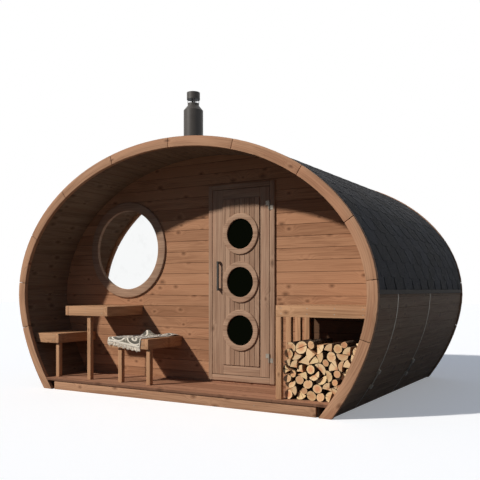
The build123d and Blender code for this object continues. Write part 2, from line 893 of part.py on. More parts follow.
def chimney_cap():
    """Closed cap above the outlet, carried on four struts that stand on the neck."""
    cap = turned([
        (0, chimney_cap_bottom),
        (chimney_cap_radius, chimney_cap_bottom),
        (chimney_cap_radius, chimney_cap_edge),
        (0, chimney_top),
    ])
    strut_z = (chimney_neck_top + fit_gap, chimney_cap_bottom - fit_gap)
    reach = (chimney_flue_radius, chimney_neck_radius)
    width = (-chimney_strut_width / 2, chimney_strut_width / 2)
    struts = []
    for number in range(chimney_strut_count):
        turn = Rot(0, 0, 360 * (number + 0.5) / chimney_strut_count)
        struts.append(Pos(chimney_x, chimney_y, 0) * turn * block(reach, width, strut_z))
    return [cap] + struts


def chimney_flashing():
    """Sheet collar with eight sloping sides round the pipe, cut below to the slope of the roof."""
    roof_top = shell_point(0, 0)[1]
    low = widest_height + crown_rise / 2
    inner = chimney_radius + fit_gap

    def octagon(reach, height):
        outline = RegularPolygon(reach, flashing_side_count, major_radius=False)
        return Plane.XY.offset(height) * outline

    top = roof_top + flashing_rise
    ends = [octagon(flashing_reach, roof_top), octagon(inner + flashing_thickness, top)]
    slope = loft(ends, ruled=True)
    skirt = extrude(octagon(flashing_reach, low), roof_top - low)
    bore = extrude(octagon(inner, low - fit_gap), top - low + 2 * fit_gap)
    collar = Pos(chimney_x, chimney_y, 0) * (slope + skirt - bore)
    depth = ring_proud - fit_gap - shingle_thickness - fit_gap
    right = [shell_point(place, depth) for place in range(stave_count)]
    left = [(-x, z) for x, z in reversed(right[1:])]
    return collar - prism(left + right, -shell_length, shell_length)


def make_chimney():
    """Insulated pipe through the roof, drawn in to a neck at its top, with a cap and a flashing."""
    ceiling = shell_point(abs(chimney_x) / stave_width, stave_inside)[1]
    pipe = turned([
        (chimney_flue_radius, ceiling - chimney_inside_reach),
        (chimney_radius, ceiling - chimney_inside_reach),
        (chimney_radius, chimney_shoulder_bottom),
        (chimney_neck_radius, chimney_shoulder_top),
        (chimney_neck_radius, chimney_neck_top),
        (chimney_flue_radius, chimney_neck_top),
    ])
    save("chimney", [pipe] + chimney_cap() + [chimney_flashing()])


def make_throw():
    """Throw laid over the front of the right bench, as a thin plain solid."""
    top = right_bench_height + throw_clearance
    front = seat_front - throw_clearance
    back = seat_front + throw_back_setback
    throw_left = right_bench_left - throw_left_overhang
    throw_right = right_bench_right - throw_right_inset
    flat = Plane.XY.offset(top) * Polygon(
        (throw_left, front - throw_thickness),
        (throw_right, front - throw_thickness),
        (right_bench_right - throw_back_right_inset, back),
        (right_bench_left + throw_back_left_inset, back),
        align=None,
    )
    sheet = extrude(flat, throw_thickness, dir=(0, 0, 1))
    drop = [
        (throw_left, top + throw_thickness),
        (throw_left, right_bench_height - throw_drop_left),
        (throw_right, right_bench_height - throw_drop_right),
        (throw_right, top + throw_thickness),
    ]
    hanging = prism(drop, front - throw_thickness, front)
    save("bench_throw", [sheet + hanging])


make_staves()
make_rings()
make_floor()
make_walls()
make_door_frame()
make_door_leaf()
make_door_handle()
make_hinges()
make_round_window()
make_table()
make_left_bench()
make_right_bench()
make_wood_store()
make_firewood()
make_roof()
make_straps()
make_chimney()
make_throw()
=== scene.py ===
import math
import random
from functools import partialmethod

import bmesh
import bpy
from mathutils import Matrix, Vector
from mathutils.bvhtree import BVHTree


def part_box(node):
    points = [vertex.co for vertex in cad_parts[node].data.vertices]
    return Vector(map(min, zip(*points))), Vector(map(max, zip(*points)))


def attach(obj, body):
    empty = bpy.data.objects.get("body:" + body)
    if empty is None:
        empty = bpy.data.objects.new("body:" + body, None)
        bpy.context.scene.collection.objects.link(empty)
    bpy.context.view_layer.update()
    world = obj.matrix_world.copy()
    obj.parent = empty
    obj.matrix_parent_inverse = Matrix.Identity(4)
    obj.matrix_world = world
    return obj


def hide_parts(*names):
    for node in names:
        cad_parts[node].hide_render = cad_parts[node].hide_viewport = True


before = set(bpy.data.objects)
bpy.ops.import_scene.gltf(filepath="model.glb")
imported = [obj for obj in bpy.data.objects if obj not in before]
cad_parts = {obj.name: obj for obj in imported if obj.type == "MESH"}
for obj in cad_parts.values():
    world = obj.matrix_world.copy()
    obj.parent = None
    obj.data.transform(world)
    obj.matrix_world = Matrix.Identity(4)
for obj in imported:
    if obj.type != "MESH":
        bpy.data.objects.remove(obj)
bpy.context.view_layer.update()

bl_info = {
    "name": "Outdoor sauna dressing",
    "version": (1, 0, 0),
    "blender": (4, 5, 0),
    "location": "3D Viewport > Sidebar > Sauna",
    "description": "Boards, shingles, firewood, a throw and finishes for an oval outdoor sauna",
    "category": "Object",
}

CABIN = "cabin"
LEAF = "door_leaf"
SHELL_MIDDLE = 0.968  # height of the middle of the shell's outline
CAMERA_PLACE = (3.632, -6.141, 1.027)
CAMERA_SHIFT = (-0.0257, 0.1031)
KEY_LIGHT_TRAVEL = (0.70, 1.0, -0.84)
KEY_LIGHT_TINT = (1.0, 0.97, 0.92)
FILL_LIGHT_TINT = (0.72, 1.12, 1.85)
SETTLING_FRAMES = 60
STRAND_RADII = (0.0020, 0.0025, 0.0020, 0.0021, 0.0008)  # of a tassel, from its top down
SCREW_MARGIN = 0.022  # from a board's edge to the middle of its screws
PANEL_EDGE = 0.051  # from the door panel's right edge to its first joint


def length(name, description, default, **limits):
    """A length in metres for a property group."""
    return bpy.props.FloatProperty(
        name=name, description=description, default=default, min=0, unit="LENGTH", precision=4, **limits
    )


def tint(name, description, default):
    """A colour for a property group, in linear light."""
    return bpy.props.FloatVectorProperty(
        name=name, description=description, default=default, subtype="COLOR", size=3, min=0, max=1
    )


class SaunaSizes(bpy.types.PropertyGroup):
    """Sizes of the boards, shingles and soft goods, in metres."""

    wall_board: length("Wall board", "Height of one horizontal wall board", 0.110)
    wall_board_start: length("Wall board start", "Height at which a wall board begins", 0.089)
    floor_board: length("Floor board", "Width of one floor board", 0.118)
    seat_board: length("Seat board", "Width of one board of a seat or table top", 0.103)
    panel_board: length("Door board", "Width of one upright board in the door", 0.055)
    board_bevel: length("Board bevel", "Size of the bevel along each board", 0.0022)
    board_joint: length("Board joint", "Open joint between two boards", 0.0012)
    edge_round: length("Edge rounding", "Rounding of the joinery's edges", 0.003)
    ring_joint: length("Ring joint", "How far each ring board's end is cut back", 0.0022)
    shingle_width: length("Shingle width", "Width of one shingle tab", 0.250)
    shingle_exposure: length("Shingle exposure", "Height of each course that shows", 0.135)
    shingle_thickness: length("Shingle thickness", "Thickness of one shingle", 0.0034)
    throw_width: length("Throw width", "Width of the throw before it is laid", 0.41)
    throw_length: length("Throw length", "Length of the throw before it is laid", 0.63)
    throw_overhang: length("Throw overhang", "How far the throw starts before the bench", 0.037)
    fringe_length: length("Fringe length", "Length of one tassel of the throw", 0.040)


class SaunaColours(bpy.types.PropertyGroup):
    """Colours of the finishes."""

    wall: tint("Walls", "Heat treated wall boards", (0.335, 0.170, 0.092))
    ring: tint("End rings", "Sawn ring boards", (0.365, 0.202, 0.117))
    # painted shade: the staves are the same wood as the walls, but their colour is darker and greyer, as
    # their shaded sides look
    staves: tint("Staves", "Shell boards", (0.160, 0.110, 0.072))
    floor: tint("Floor", "Floor boards", (0.33, 0.168, 0.10))
    door: tint("Door", "Door joinery", (0.315, 0.199, 0.132))
    furniture: tint("Furniture", "Benches, table and store", (0.40, 0.222, 0.120))
    log_end: tint("Log ends", "Fresh end grain of the firewood", (0.64, 0.40, 0.21))
    log_side: tint("Split faces", "Split faces of the firewood", (0.52, 0.29, 0.15))
    bark: tint("Bark", "Bark of the firewood", (0.10, 0.06, 0.038))
    shingle: tint("Shingles", "Mineral surfaced shingles", (0.0295, 0.0288, 0.0295))
    steel: tint("Steel", "Straps, hinges and handle mounts", (0.30, 0.265, 0.215))
    black: tint("Black metal", "Chimney, handle and roof edge strips", (0.0225, 0.0190, 0.0160))
    cloth: tint("Throw", "Undyed cotton of the throw", (0.80, 0.71, 0.59))
    pattern: tint("Throw pattern", "Dark yarn of the throw", (0.030, 0.027, 0.018))


class SaunaStudio(bpy.types.PropertyGroup):
    """Camera, lamps and floor."""

    lens: bpy.props.FloatProperty(name="Lens", description="Focal length", default=48.22, unit="CAMERA")
    turn: bpy.props.FloatProperty(
        name="Turn", description="Camera turn from the front", default=math.radians(30.247), subtype="ANGLE"
    )
    sun: bpy.props.FloatProperty(name="Key light", description="Strength of the key light", default=4.1)
    sky: bpy.props.FloatProperty(name="Fill light", description="Strength of the fill light", default=0.10)


def sizes():
    """The scene's sizes."""
    return bpy.context.scene.sauna_sizes


def colours():
    """The scene's colours."""
    return bpy.context.scene.sauna_colours


# Node trees

class Value:
    """One socket of a node tree. Sums, products and the like on it add Math nodes."""

    def __init__(self, tree, socket):
        self.tree, self.socket = tree, socket

    def math(self, operation, *others):
        return self.tree.node("ShaderNodeMath", self, *others, operation=operation)

    def __rsub__(self, other):
        return self.tree.node("ShaderNodeMath", other, self, operation="SUBTRACT")

    __add__ = __radd__ = partialmethod(math, "ADD")
    __sub__ = partialmethod(math, "SUBTRACT")
    __mul__ = partialmethod(math, "MULTIPLY")
    __truediv__ = partialmethod(math, "DIVIDE")
    __pow__ = partialmethod(math, "POWER")
    floor = partialmethod(math, "FLOOR")
    fraction = partialmethod(math, "FRACT")
    size = partialmethod(math, "ABSOLUTE")
    sine = partialmethod(math, "SINE")
    least = partialmethod(math, "MINIMUM")
    most = partialmethod(math, "MAXIMUM")
    above = partialmethod(math, "GREATER_THAN")
    turn = partialmethod(math, "ARCTAN2")

    def rise(self, low, high):
        """0 below low, 1 above high and a smooth rise between them; low may be the larger."""
        return self.tree.node(
            "ShaderNodeMapRange", Value=self, From_Min=low, From_Max=high, interpolation_type="SMOOTHSTEP"
        )

    def other(self, name):
        """Another output of the same node."""
        return Value(self.tree, self.socket.node.outputs[name])


class Tree:
    """A node tree that is being built."""

    def __init__(self, tree):
        self.tree = tree

    def feed(self, node, sockets):
        """Set or link a node's sockets by place or name; a list makes several links to one."""
        for key, value in sockets.items():
            for source in value if isinstance(value, list) else [value]:
                if isinstance(source, Value):
                    self.tree.links.new(source.socket, node.inputs[key])
                else:
                    node.inputs[key].default_value = source

    def node(self, kind, *inputs, output=0, **named):
        """Add a node and give one of its outputs.

        The inputs go to its sockets in order, and None leaves a socket as it is. A name in lower case
        is a setting. Any other is a socket's name, with _ for a space.
        """
        made = self.tree.nodes.new(kind)
        sockets = {place: value for place, value in enumerate(inputs) if value is not None}
        for name, value in named.items():
            if name[0].islower():
                setattr(made, name, value)
            else:
                sockets[name.replace("_", " ")] = value
        self.feed(made, sockets)
        return Value(self, made.outputs[output])

    def vector(self, *parts):
        return self.node("ShaderNodeCombineXYZ", *parts)

    def parts(self, vector):
        split = self.node("ShaderNodeSeparateXYZ", vector)
        return split, split.other("Y"), split.other("Z")

    def mix(self, factor, *pair):
        """Mix two colours."""
        pair = [colour if isinstance(colour, Value) else (*colour, 1) for colour in pair]
        return self.node("ShaderNodeMix", factor, *[None] * 5, *pair, output=2, data_type="RGBA")


class Finish(Tree):
    """A material that is being built round one Principled shader."""

    def __init__(self, name):
        self.material = bpy.data.materials.new(name)
        self.material.use_nodes = True
        super().__init__(self.material.node_tree)
        self.shader = self.tree.nodes["Principled BSDF"]

    def spot(self, *scales):
        """The object coordinates as one vector, each times its scale."""
        place = self.node("ShaderNodeTexCoord", output="Object")
        return self.node("ShaderNodeVectorMath", place, scales, operation="MULTIPLY") if scales else place

    def island(self):
        """A random number for each separate solid of a mesh."""
        return self.node("ShaderNodeNewGeometry", output="Random Per Island")

    def coats(self, body, *layers):
        """Lay colours over a first one; each layer is its share and its colour."""
        for share, colour in layers:
            body = self.mix(share, body, colour)
        return body

    def noise(self, vector, scale, detail=2.0, roughness=0.5, distortion=0.0):
        return self.node(
            "ShaderNodeTexNoise", Vector=vector, Scale=scale, Detail=detail,
            Roughness=roughness, Distortion=distortion,
        )

    def finish(self, colour, roughness, height=None, depth=0.001, specular=0.2, **values):
        """Give the shader its values, named with _ for a space; height is bumped by depth metres."""
        values.update(Base_Color=colour, Roughness=roughness, Specular_IOR_Level=specular)
        if height is not None:
            values["Normal"] = self.node("ShaderNodeBump", Strength=1.0, Distance=depth, Height=height)
        self.feed(self.shader, {name.replace("_", " "): value for name, value in values.items()})
        return self.material


def shade(colour, factor):
    """A colour made lighter or darker."""
    return tuple(min(1.0, channel * factor) for channel in colour)


def warm(colour, factor):
    """A colour made darker and redder."""
    return (colour[0] * factor, colour[1] * factor * 0.86, colour[2] * factor * 0.78)


def knot_masks(f, run, across, through, left_out):
    """Core, rim and halo of scattered knots, and how far they push the grain aside.

    Each long cell holds one point. Some of the points are left out, and the others are knots.
    """
    cells_run, cells_across = 3.1, 9.0
    flat = f.vector(run * cells_run, across * cells_across, 0.0)
    cells = f.node("ShaderNodeTexVoronoi", Vector=flat, Scale=1.0, voronoi_dimensions="2D")
    here_x, here_y, _ = f.parts(flat)
    knot_x, knot_y, _ = f.parts(cells.other("Position"))
    # the distance in metres, longer along the grain
    wobble = f.noise(f.vector(run, across, through), 46.0) * 0.012
    away_run, away_across = (here_x - knot_x) / cells_run, (here_y - knot_y) / cells_across
    away = (away_run * away_run * 0.4 + away_across * away_across) ** 0.5 + wobble - 0.006
    red, green, _ = f.parts(cells.other("Color"))
    picked = red.above(left_out)
    relative = away / (green * 0.009 + 0.0060)
    core, rim = picked * relative.rise(1.15, 0.7), picked * relative.rise(2.6, 1.2)
    halo = picked * relative.rise(5.0, 2.2) * (1.0 - rim)
    return core, rim, halo, picked * (away / 0.05).rise(1.6, 0.0)


def wood(name, colour, along, board=None, knots=0.45, line=0.6, store_shade=None):
    """Knotty softwood whose grain runs along an axis, or along or round the shell.

    The last argument, (left, top, front), marks the wood store: boards right of left, below top and near
    front get painted shade, dark as in the shadow under the store's cover.
    grime is (left, top, front): boards right of left and below top are dark with dust from firewood.
    knots is the share of cells without a knot, and line the strength of the joints between boards.
    """
    f = Finish(name)
    x, y, z = f.parts(f.spot())
    if along in ("ring", "shell"):
        up = z - SHELL_MIDDLE
        around = x.turn(up * 1.33) * 1.75
        radial = (x * x + up * up * 1.9) ** 0.5
        run, across, through = (around, radial, y) if along == "ring" else (y, around, radial)
    else:
        run, across, through = {"X": (x, z, y), "Y": (y, x, z), "Z": (z, x, y)}[along]
    if board:
        axis, width, start = board
        across = {"X": x, "Y": y, "Z": z}[axis]
        place = (across - start) / width
        tone = f.node("ShaderNodeTexWhiteNoise", W=place.floor(), noise_dimensions="1D")
        run = run + tone * 7.3
    core, rim, halo, flow = knot_masks(f, run, across, through, knots)

    # grain: broad streaks, growth bands that flow round the knots, thin lines and fine fibres
    def grain(along_run, sideways, *settings, shift=0.0, bend=0.0):
        side = across * sideways + flow * bend
        return f.noise(f.vector(run * along_run + shift, side, through * sideways), 1.0, *settings)

    streak, slow = grain(1.5, 19.0, 4.0, 0.6, 0.5), grain(0.8, 5.0)
    blush, fibre = grain(0.7, 8.0, shift=9.0), grain(9.0, 330.0)
    lines = grain(1.1, 55.0, 3.0, 0.55, 0.3, shift=4.0, bend=3.0)
    band = (across * 300.0 + through * 190.0 + slow * 34.0 + flow * 14.0).sine() * 0.5 + 0.5
    dark = streak.rise(0.40, 0.70) * 0.52 + band ** 2.5 * 0.26 + (fibre - 0.5) * 0.3
    layers = [
        (dark, warm(colour, 0.55)),
        (blush.rise(0.52, 0.72) * 0.35, (colour[0] * 1.05, colour[1] * 0.83, colour[2] * 0.78)),
        (lines.rise(0.56, 0.70) * 0.42, warm(colour, 0.52)),
        (lines.rise(0.42, 0.30) * 0.30, shade(colour, 1.32)),
    ]
    if board:
        layers.append((tone.rise(0.35, 1.0) * 0.45, warm(colour, 0.62)))
        layers.append(((tone * 5.7).fraction().above(0.7) * 0.35, shade(colour, 1.4)))
    layers.append((halo * 0.4, shade(colour, 1.3)))
    layers.append((rim * 0.45, warm(colour, 0.55)))
    layers.append((core * 0.55, warm(colour, 0.30)))
    if board:
        joint = (place.fraction() - 0.5).size().rise(0.5 - 0.0045 / width, 0.5 - 0.0015 / width)
        layers.append((joint * line, warm(colour, 0.16)))
    # painted shade: boards inside the wood store, under its cover, are darkened as if in shadow
    if store_shade:
        left, top, front = store_shade
        hidden = x.rise(left - 0.01, left + 0.01) * z.rise(top + 0.01, top - 0.02)
        layers.append((hidden * y.rise(front + 0.03, front + 0.01) * 0.8, shade(colour, 0.12)))
    body = f.coats(shade(colour, 1.2), *layers)
    rough = 0.6 + fibre * 0.18 - core * 0.15
    return f.finish(body, rough, fibre * 0.5 + band * 0.28 - core * 0.6, 0.0007, 0.1)


def plain_metal(name, colour, metallic, roughness, specular=0.5):
    """Rolled or painted metal with fine handling marks and uneven gloss."""
    f = Finish(name)
    cloud, fine = f.noise(f.spot(), 14.0, 3.0), f.noise(f.spot(6, 6, 1), 140.0)
    body = f.coats(shade(colour, 1.25), (cloud.rise(0.3, 0.75) * 0.5, shade(colour, 0.72)))
    rough = roughness + (cloud + fine - 1.0) * 0.12
    return f.finish(body, rough, fine, 0.0001, specular, Metallic=metallic)


def shingle_finish():
    """Bitumen shingle with mineral grains; each tab has its own tone."""
    f, colour = Finish("shingle_grains"), colours().shingle
    grains = f.node("ShaderNodeTexVoronoi", Vector=f.spot(), Scale=620.0, output="Color")
    grain, _, _ = f.parts(grains)
    weather = f.noise(f.spot(), 3.2, 4.0, 0.6)
    body = f.coats(
        shade(colour, 0.5), (f.island(), shade(colour, 2.1)),
        (grain.rise(0.55, 0.95) * 0.55, shade(colour, 3.6)),
        (weather.rise(0.45, 0.75) * 0.35, (0.052, 0.05, 0.045)),
    )
    return f.finish(body, grain * 0.08 + 0.88, grain, 0.0012, 0.22)


def bark_finish():
    """Cracked bark."""
    f, colour = Finish("log_bark"), colours().bark
    ridges = f.node("ShaderNodeTexVoronoi", Vector=f.spot(60, 16, 60), Scale=1.0, feature="DISTANCE_TO_EDGE")
    mottle = f.noise(f.spot(1, 0.4, 1), 55.0, 3.0)
    body = f.coats(
        shade(colour, 0.35), (ridges.rise(0.02, 0.3), shade(colour, 1.5)),
        (mottle.rise(0.4, 0.7) * 0.6, (0.20, 0.135, 0.09)),
    )
    return f.finish(body, 0.9, ridges.rise(0.0, 0.35) + mottle * 0.4, 0.003)


def log_end_finish():
    """Sawn end grain: growth rings and cracks about each log's own heart, from its UV map."""
    f, colour = Finish("log_end_grain"), colours().log_end
    u, v, _ = f.parts(f.node("ShaderNodeUVMap", uv_map="log"))
    island = f.island()
    far, turn = (u * u + v * v) ** 0.5, u.turn(v)
    wander = f.noise(f.vector(u * 14.0, v * 14.0, island * 30.0), 1.0)
    rings = ((far + wander * 0.012) * 1500.0).sine() * 0.5 + 0.5
    rays = f.noise(f.vector(turn * 16.0, far * 5.0, island * 9.0), 1.0)
    sawn = f.noise(f.vector(u * 30.0, v * 420.0, island), 1.0)
    cracks = f.noise(f.vector(turn * 3.1, far * 2.0, island * 50.0), 1.0).rise(0.655, 0.70)
    hearts = (island * 3.3).fraction() * 0.75 + 0.15
    body = f.coats(
        shade(colour, 1.16), (rings * 0.30 + rays.rise(0.4, 0.8) * 0.22, warm(colour, 0.66)),
        (far.rise(0.016, 0.045) * 0.65, (0.82, 0.60, 0.35)),
        ((island * 7.7).fraction().above(0.6) * 0.4, (0.72, 0.52, 0.25)),
        ((island * 12.1).fraction().above(0.8) * 0.4, (0.42, 0.23, 0.12)),
        (far.rise(0.040, 0.008) * hearts, (0.60, 0.25, 0.125)),
        (sawn.rise(0.35, 0.8) * 0.22, warm(colour, 0.5)),
        (cracks * far.rise(0.002, 0.01) * 0.8, (0.05, 0.025, 0.015)),
    )
    return f.finish(body, 0.78, sawn + rings * 0.3 - cracks, 0.0008)


def log_side_finish():
    """Split face with torn fibres along the log."""
    f, colour = Finish("log_split_face"), colours().log_side
    fibre, broad = f.noise(f.spot(120, 4, 120), 1.0, 3.0), f.noise(f.spot(20, 2, 20), 1.0)
    body = f.coats(
        shade(colour, 1.1), (fibre.rise(0.35, 0.7) * 0.6, warm(colour, 0.55)),
        (broad * 0.4 + f.island() * 0.3, warm(colour, 0.62)),
    )
    return f.finish(body, 0.8, fibre, 0.002)


def throw_finish():
    """Woven cotton with a dark traditional pattern of rings, diamonds and stripes on its UV map."""
    f, cloth = Finish("throw_weave"), colours().cloth
    u, v, _ = f.parts(f.node("ShaderNodeUVMap", uv_map="cloth"))

    def band(value, middle, half, soft=0.0012):
        return (value - middle).size().rise(half + soft, half - soft)

    # a row of wide medallions: heart, diamond, rings and a pale outer ring on a mottled ground
    wide, tall = 0.215, 0.135
    cell_u = ((u + 0.089) / wide + 0.5).fraction() * wide - wide / 2
    cell_v = ((v - 0.078) / tall + 0.5).fraction() * tall - tall / 2
    ragged = f.noise(f.vector(u, v, 0.0), 240.0, 1.0) * 0.006 - 0.003
    far = (cell_u * cell_u * 0.36 + cell_v * cell_v) ** 0.5 + ragged
    slant = cell_u.size() * 0.6 + cell_v.size() + ragged
    rings = band(far, 0.0285, 0.0050).most(band(far, 0.0415, 0.0055))
    outside = far.rise(0.0575, 0.0595)
    ground = outside * f.noise(f.vector(u, v, 2.0), 75.0).rise(0.28, 0.48)
    stems = band((cell_u * 95.0 + (cell_v * 70.0).sine() * 2.0).sine(), 0.0, 0.35, 0.1) * outside
    edge = sizes().throw_width / 2
    inside = v.rise(0.020, 0.024) * u.size().rise(edge - 0.010, edge - 0.014)
    dyed = slant.rise(0.012, 0.009).most(rings).most(stems * 0.75) * inside
    faded = ground.most(band(far, 0.035, 0.003)).most(band(far, 0.022, 0.001)) * inside

    # threads: warp and weft, loose fuzz and thick places
    threads = 2.0 * math.pi * 330.0
    weave = (u * threads).sine() * (v * threads).sine() * 0.5 + 0.5
    fuzz = f.noise(f.vector(u, v, 0.0), 900.0)
    slub = f.noise(f.vector(u * 6.0, v * 240.0, 0.0), 1.0)
    body = f.coats(
        cloth, (slub.rise(0.35, 0.75) * 0.35, shade(cloth, 0.74)), (faded * 0.92, (0.15, 0.13, 0.085)),
        (dyed * (0.84 + fuzz * 0.16), colours().pattern), (weave * 0.10, shade(cloth, 0.35)),
    )
    return f.finish(body, 0.92, weave * 0.7 + fuzz * 0.3, 0.0012, Sheen_Weight=0.25)


def fringe_finish():
    """Twisted cotton tassels."""
    f, colour = Finish("throw_fringe"), colours().cloth
    twist = f.noise(f.spot(1, 1, 0.5), 320.0)
    body = f.coats(shade(colour, 0.94), (twist.rise(0.3, 0.7), shade(colour, 1.2)))
    return f.finish(body, 0.95, twist)


def glass_finish(name, colour, metallic, roughness, alpha, specular):
    """Glass with faint dirt."""
    f = Finish(name)
    dust = f.noise(f.spot(), 9.0, 4.0, 0.6)
    body = f.coats(colour, (dust.rise(0.5, 0.8) * 0.2, shade(colour, 0.8)))
    rough = dust.rise(0.45, 0.85) * 0.03 + roughness
    return f.finish(body, rough, specular=specular, Metallic=metallic, Alpha=alpha)


# Mesh helpers

def placed(name, data):
    """A new object in the scene."""
    made = bpy.data.objects.new(name, data)
    bpy.context.scene.collection.objects.link(made)
    return made


def new_piece(name, mesh, body, replaced=None, materials=()):
    """A finished piece that rides on a body, and stands for a CAD node."""
    piece = placed(name, mesh)
    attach(piece, body)
    if replaced:
        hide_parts(replaced)
    for material in materials:
        mesh.materials.append(material)
    return piece


def to_mesh(bm, name):
    """Write a bmesh to a new mesh."""
    mesh = bpy.data.meshes.new(name)
    bm.to_mesh(mesh)
    bm.free()
    return mesh


def mesh_from(bm, name, smooth_angle):
    """Turn a bmesh into a mesh with outward faces, smooth up to an angle in degrees."""
    bmesh.ops.recalc_face_normals(bm, faces=bm.faces)
    for face in bm.faces:
        face.smooth = True
    for edge in bm.edges:
        if edge.calc_face_angle(0) > math.radians(smooth_angle):
            edge.smooth = False
    return to_mesh(bm, name)


def merged_node(name):
    """A closed bmesh copy of a CAD node, its loose triangles joined and its flat faces dissolved."""
    bm = bmesh.new()
    bm.from_mesh(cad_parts[name].data)
    bmesh.ops.remove_doubles(bm, verts=bm.verts, dist=2e-5)
    bmesh.ops.recalc_face_normals(bm, faces=bm.faces)
    bmesh.ops.dissolve_limit(bm, angle_limit=math.radians(0.5), verts=bm.verts, edges=bm.edges)
    return bm


def islands(bm):
    """The separate solids of a bmesh, as lists of faces."""
    seen, found = set(), []
    for first in bm.faces:
        if first in seen:
            continue
        seen.add(first)
        group, queue = [], [first]
        while queue:
            face = queue.pop()
            group.append(face)
            for edge in face.edges:
                for other in edge.link_faces:
                    if other not in seen:
                        seen.add(other)
                        queue.append(other)
        found.append(group)
    return found


def extent(faces):
    """The lowest and the highest corner of the box round some faces."""
    points = [vert.co for face in faces for vert in face.verts]
    return [Vector([pick(p[axis] for p in points) for axis in range(3)]) for pick in (min, max)]


def longest_axis(faces):
    """The axis along which a solid is longest: 0, 1 or 2."""
    low, high = extent(faces)
    return max(range(3), key=lambda axis: high[axis] - low[axis])


def shorten(group, amount):
    """Move the two end faces of a curved board inwards, to open the joints beside it."""
    ends = []
    for face in group:
        outward = (face.calc_center_median() - Vector((0, 0, SHELL_MIDDLE))) * Vector((1, 0, 1))
        if abs(face.normal.y) < 0.1 and abs(face.normal.dot(outward.normalized())) < 0.5:
            ends.append(face)
    for face in ends:
        if face.calc_center_median().z > 0.02:
            for vert in face.verts:
                vert.co -= face.normal * amount


def quads(rings, closed=False):
    """The place and the corners of each face between rings of points; closed joins the last to the first."""
    for one, two in zip(rings, rings[1:] + rings[:1] * closed):
        for i in range(len(one)):
            j = (i + 1) % len(one)
            yield i, (one[i], one[j], two[j], two[i])


def softened(node, name, materials, radius, body=CABIN, trim=0.0):
    """A node's solids with rounded edges, each with the material of its grain's axis."""
    bm = merged_node(node)
    for group in islands(bm):
        axis = longest_axis(group)
        for face in group:
            face.material_index = min(axis, len(materials) - 1)
        if trim:
            shorten(group, trim)
    sharp = [edge for edge in bm.edges if edge.calc_face_angle(0) > math.radians(35)]
    bmesh.ops.bevel(
        bm, geom=sharp, offset=radius, segments=2, profile=0.6, affect="EDGES", clamp_overlap=True
    )
    new_piece(name, mesh_from(bm, name, 38), body, node, materials)


def paint(material, *nodes):
    """Give CAD nodes' objects their finish."""
    for node in nodes:
        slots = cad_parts[node].data.materials
        if not slots:
            slots.append(material)
        for index in range(len(slots)):
            slots[index] = material


# Geometry trees

class GeometryTree(Tree):
    """A Geometry Nodes tree with named inputs."""

    def __init__(self, name):
        super().__init__(bpy.data.node_groups.new(name, "GeometryNodeTree"))
        for way in ("INPUT", "OUTPUT"):
            self.tree.interface.new_socket(name="Geometry", in_out=way, socket_type="NodeSocketGeometry")
        self.start = self.tree.nodes.new("NodeGroupInput")
        self.end = self.tree.nodes.new("NodeGroupOutput")
        self.names = {}

    def inputs(self, kind, *names):
        """Add named inputs of one kind and give their values."""
        for name in names:
            item = self.tree.interface.new_socket(name=name, in_out="INPUT", socket_type="NodeSocket" + kind)
            self.names[name] = item.identifier
        return [Value(self, self.start.outputs[name]) for name in names]

    def geometry(self):
        return Value(self, self.start.outputs["Geometry"])

    def add(self, kind, **named):
        """Add a geometry node and give one of its outputs."""
        return self.node("GeometryNode" + kind, **named)

    def result(self, value, material):
        """Close the tree with Realize Instances and Set Material."""
        real = self.add("RealizeInstances", Geometry=value)
        self.feed(self.end, {"Geometry": self.add("SetMaterial", Geometry=real, Material=material)})
        return self


def grown(tree, values, name, start_mesh=None, smooth_angle=None):
    """Run a geometry tree on an object with these input values, and bake the result to a mesh."""
    seed = placed(name + "_seed", start_mesh or bpy.data.meshes.new(name + "_start"))
    modifier = seed.modifiers.new("grow", "NODES")
    modifier.node_group = tree.tree
    for key, value in values.items():
        modifier[tree.names[key]] = value
    bpy.context.view_layer.update()
    evaluated = seed.evaluated_get(bpy.context.evaluated_depsgraph_get())
    mesh = bpy.data.meshes.new_from_object(evaluated)
    bpy.data.objects.remove(seed)
    mesh.name = name
    if not mesh.polygons:
        raise RuntimeError(name + " came out empty")
    bm = bmesh.new()
    bm.from_mesh(mesh)
    bmesh.ops.remove_doubles(bm, verts=bm.verts, dist=1e-6)
    bmesh.ops.recalc_face_normals(bm, faces=bm.faces)
    for face in bm.faces:
        face.smooth = smooth_angle is not None
    for edge in bm.edges:
        edge.smooth = smooth_angle is None or edge.calc_face_angle(0) < math.radians(smooth_angle)
    bm.to_mesh(mesh)
    bm.free()
    return mesh


def board_tree(name, material):
    """Bevelled boards laid side by side and cut to the shape of a solid.

    The boards lie along the tree's X axis and are turned into place by the Turn input.
    """
    t = GeometryTree(name)
    count, = t.inputs("Int", "Count")
    width, joint, thick, bevel, run = t.inputs(
        "Float", "Board width", "Joint", "Thickness", "Bevel", "Length"
    )
    middle, turn = t.inputs("Vector", "Middle", "Turn")
    solid, = t.inputs("Object", "Solid")
    profile = t.add("CurvePrimitiveQuadrilateral", Width=thick, Height=width - joint)
    rounded = t.add("FilletCurve", Curve=profile, Count=1, Radius=bevel, Limit_Radius=True, mode="POLY")
    ends = t.vector(run * -0.5, 0.0, 0.0), t.vector(run * 0.5, 0.0, 0.0)
    rail = t.add("CurvePrimitiveLine", Start=ends[0], End=ends[1])
    board = t.add("CurveToMesh", Curve=rail, Profile_Curve=rounded, Fill_Caps=True)
    first, step = t.vector(0.0, 0.0, (count - 1) * width * -0.5), t.vector(0.0, 0.0, width)
    row = t.add("MeshLine", Count=count, Start_Location=first, Offset=step, mode="OFFSET")
    laid = t.add("RealizeInstances", Geometry=t.add("InstanceOnPoints", Points=row, Instance=board))
    moved = t.add("Transform", Geometry=laid, Translation=middle, Rotation=turn)
    body = t.add("ObjectInfo", Object=solid, transform_space="ORIGINAL", output="Geometry")
    closed = t.add("MergeByDistance", Geometry=body, Distance=0.00002)
    cut = t.add("MeshBoolean", Mesh_2=[moved, closed], operation="INTERSECT", solver="EXACT")
    return t.result(cut, material)


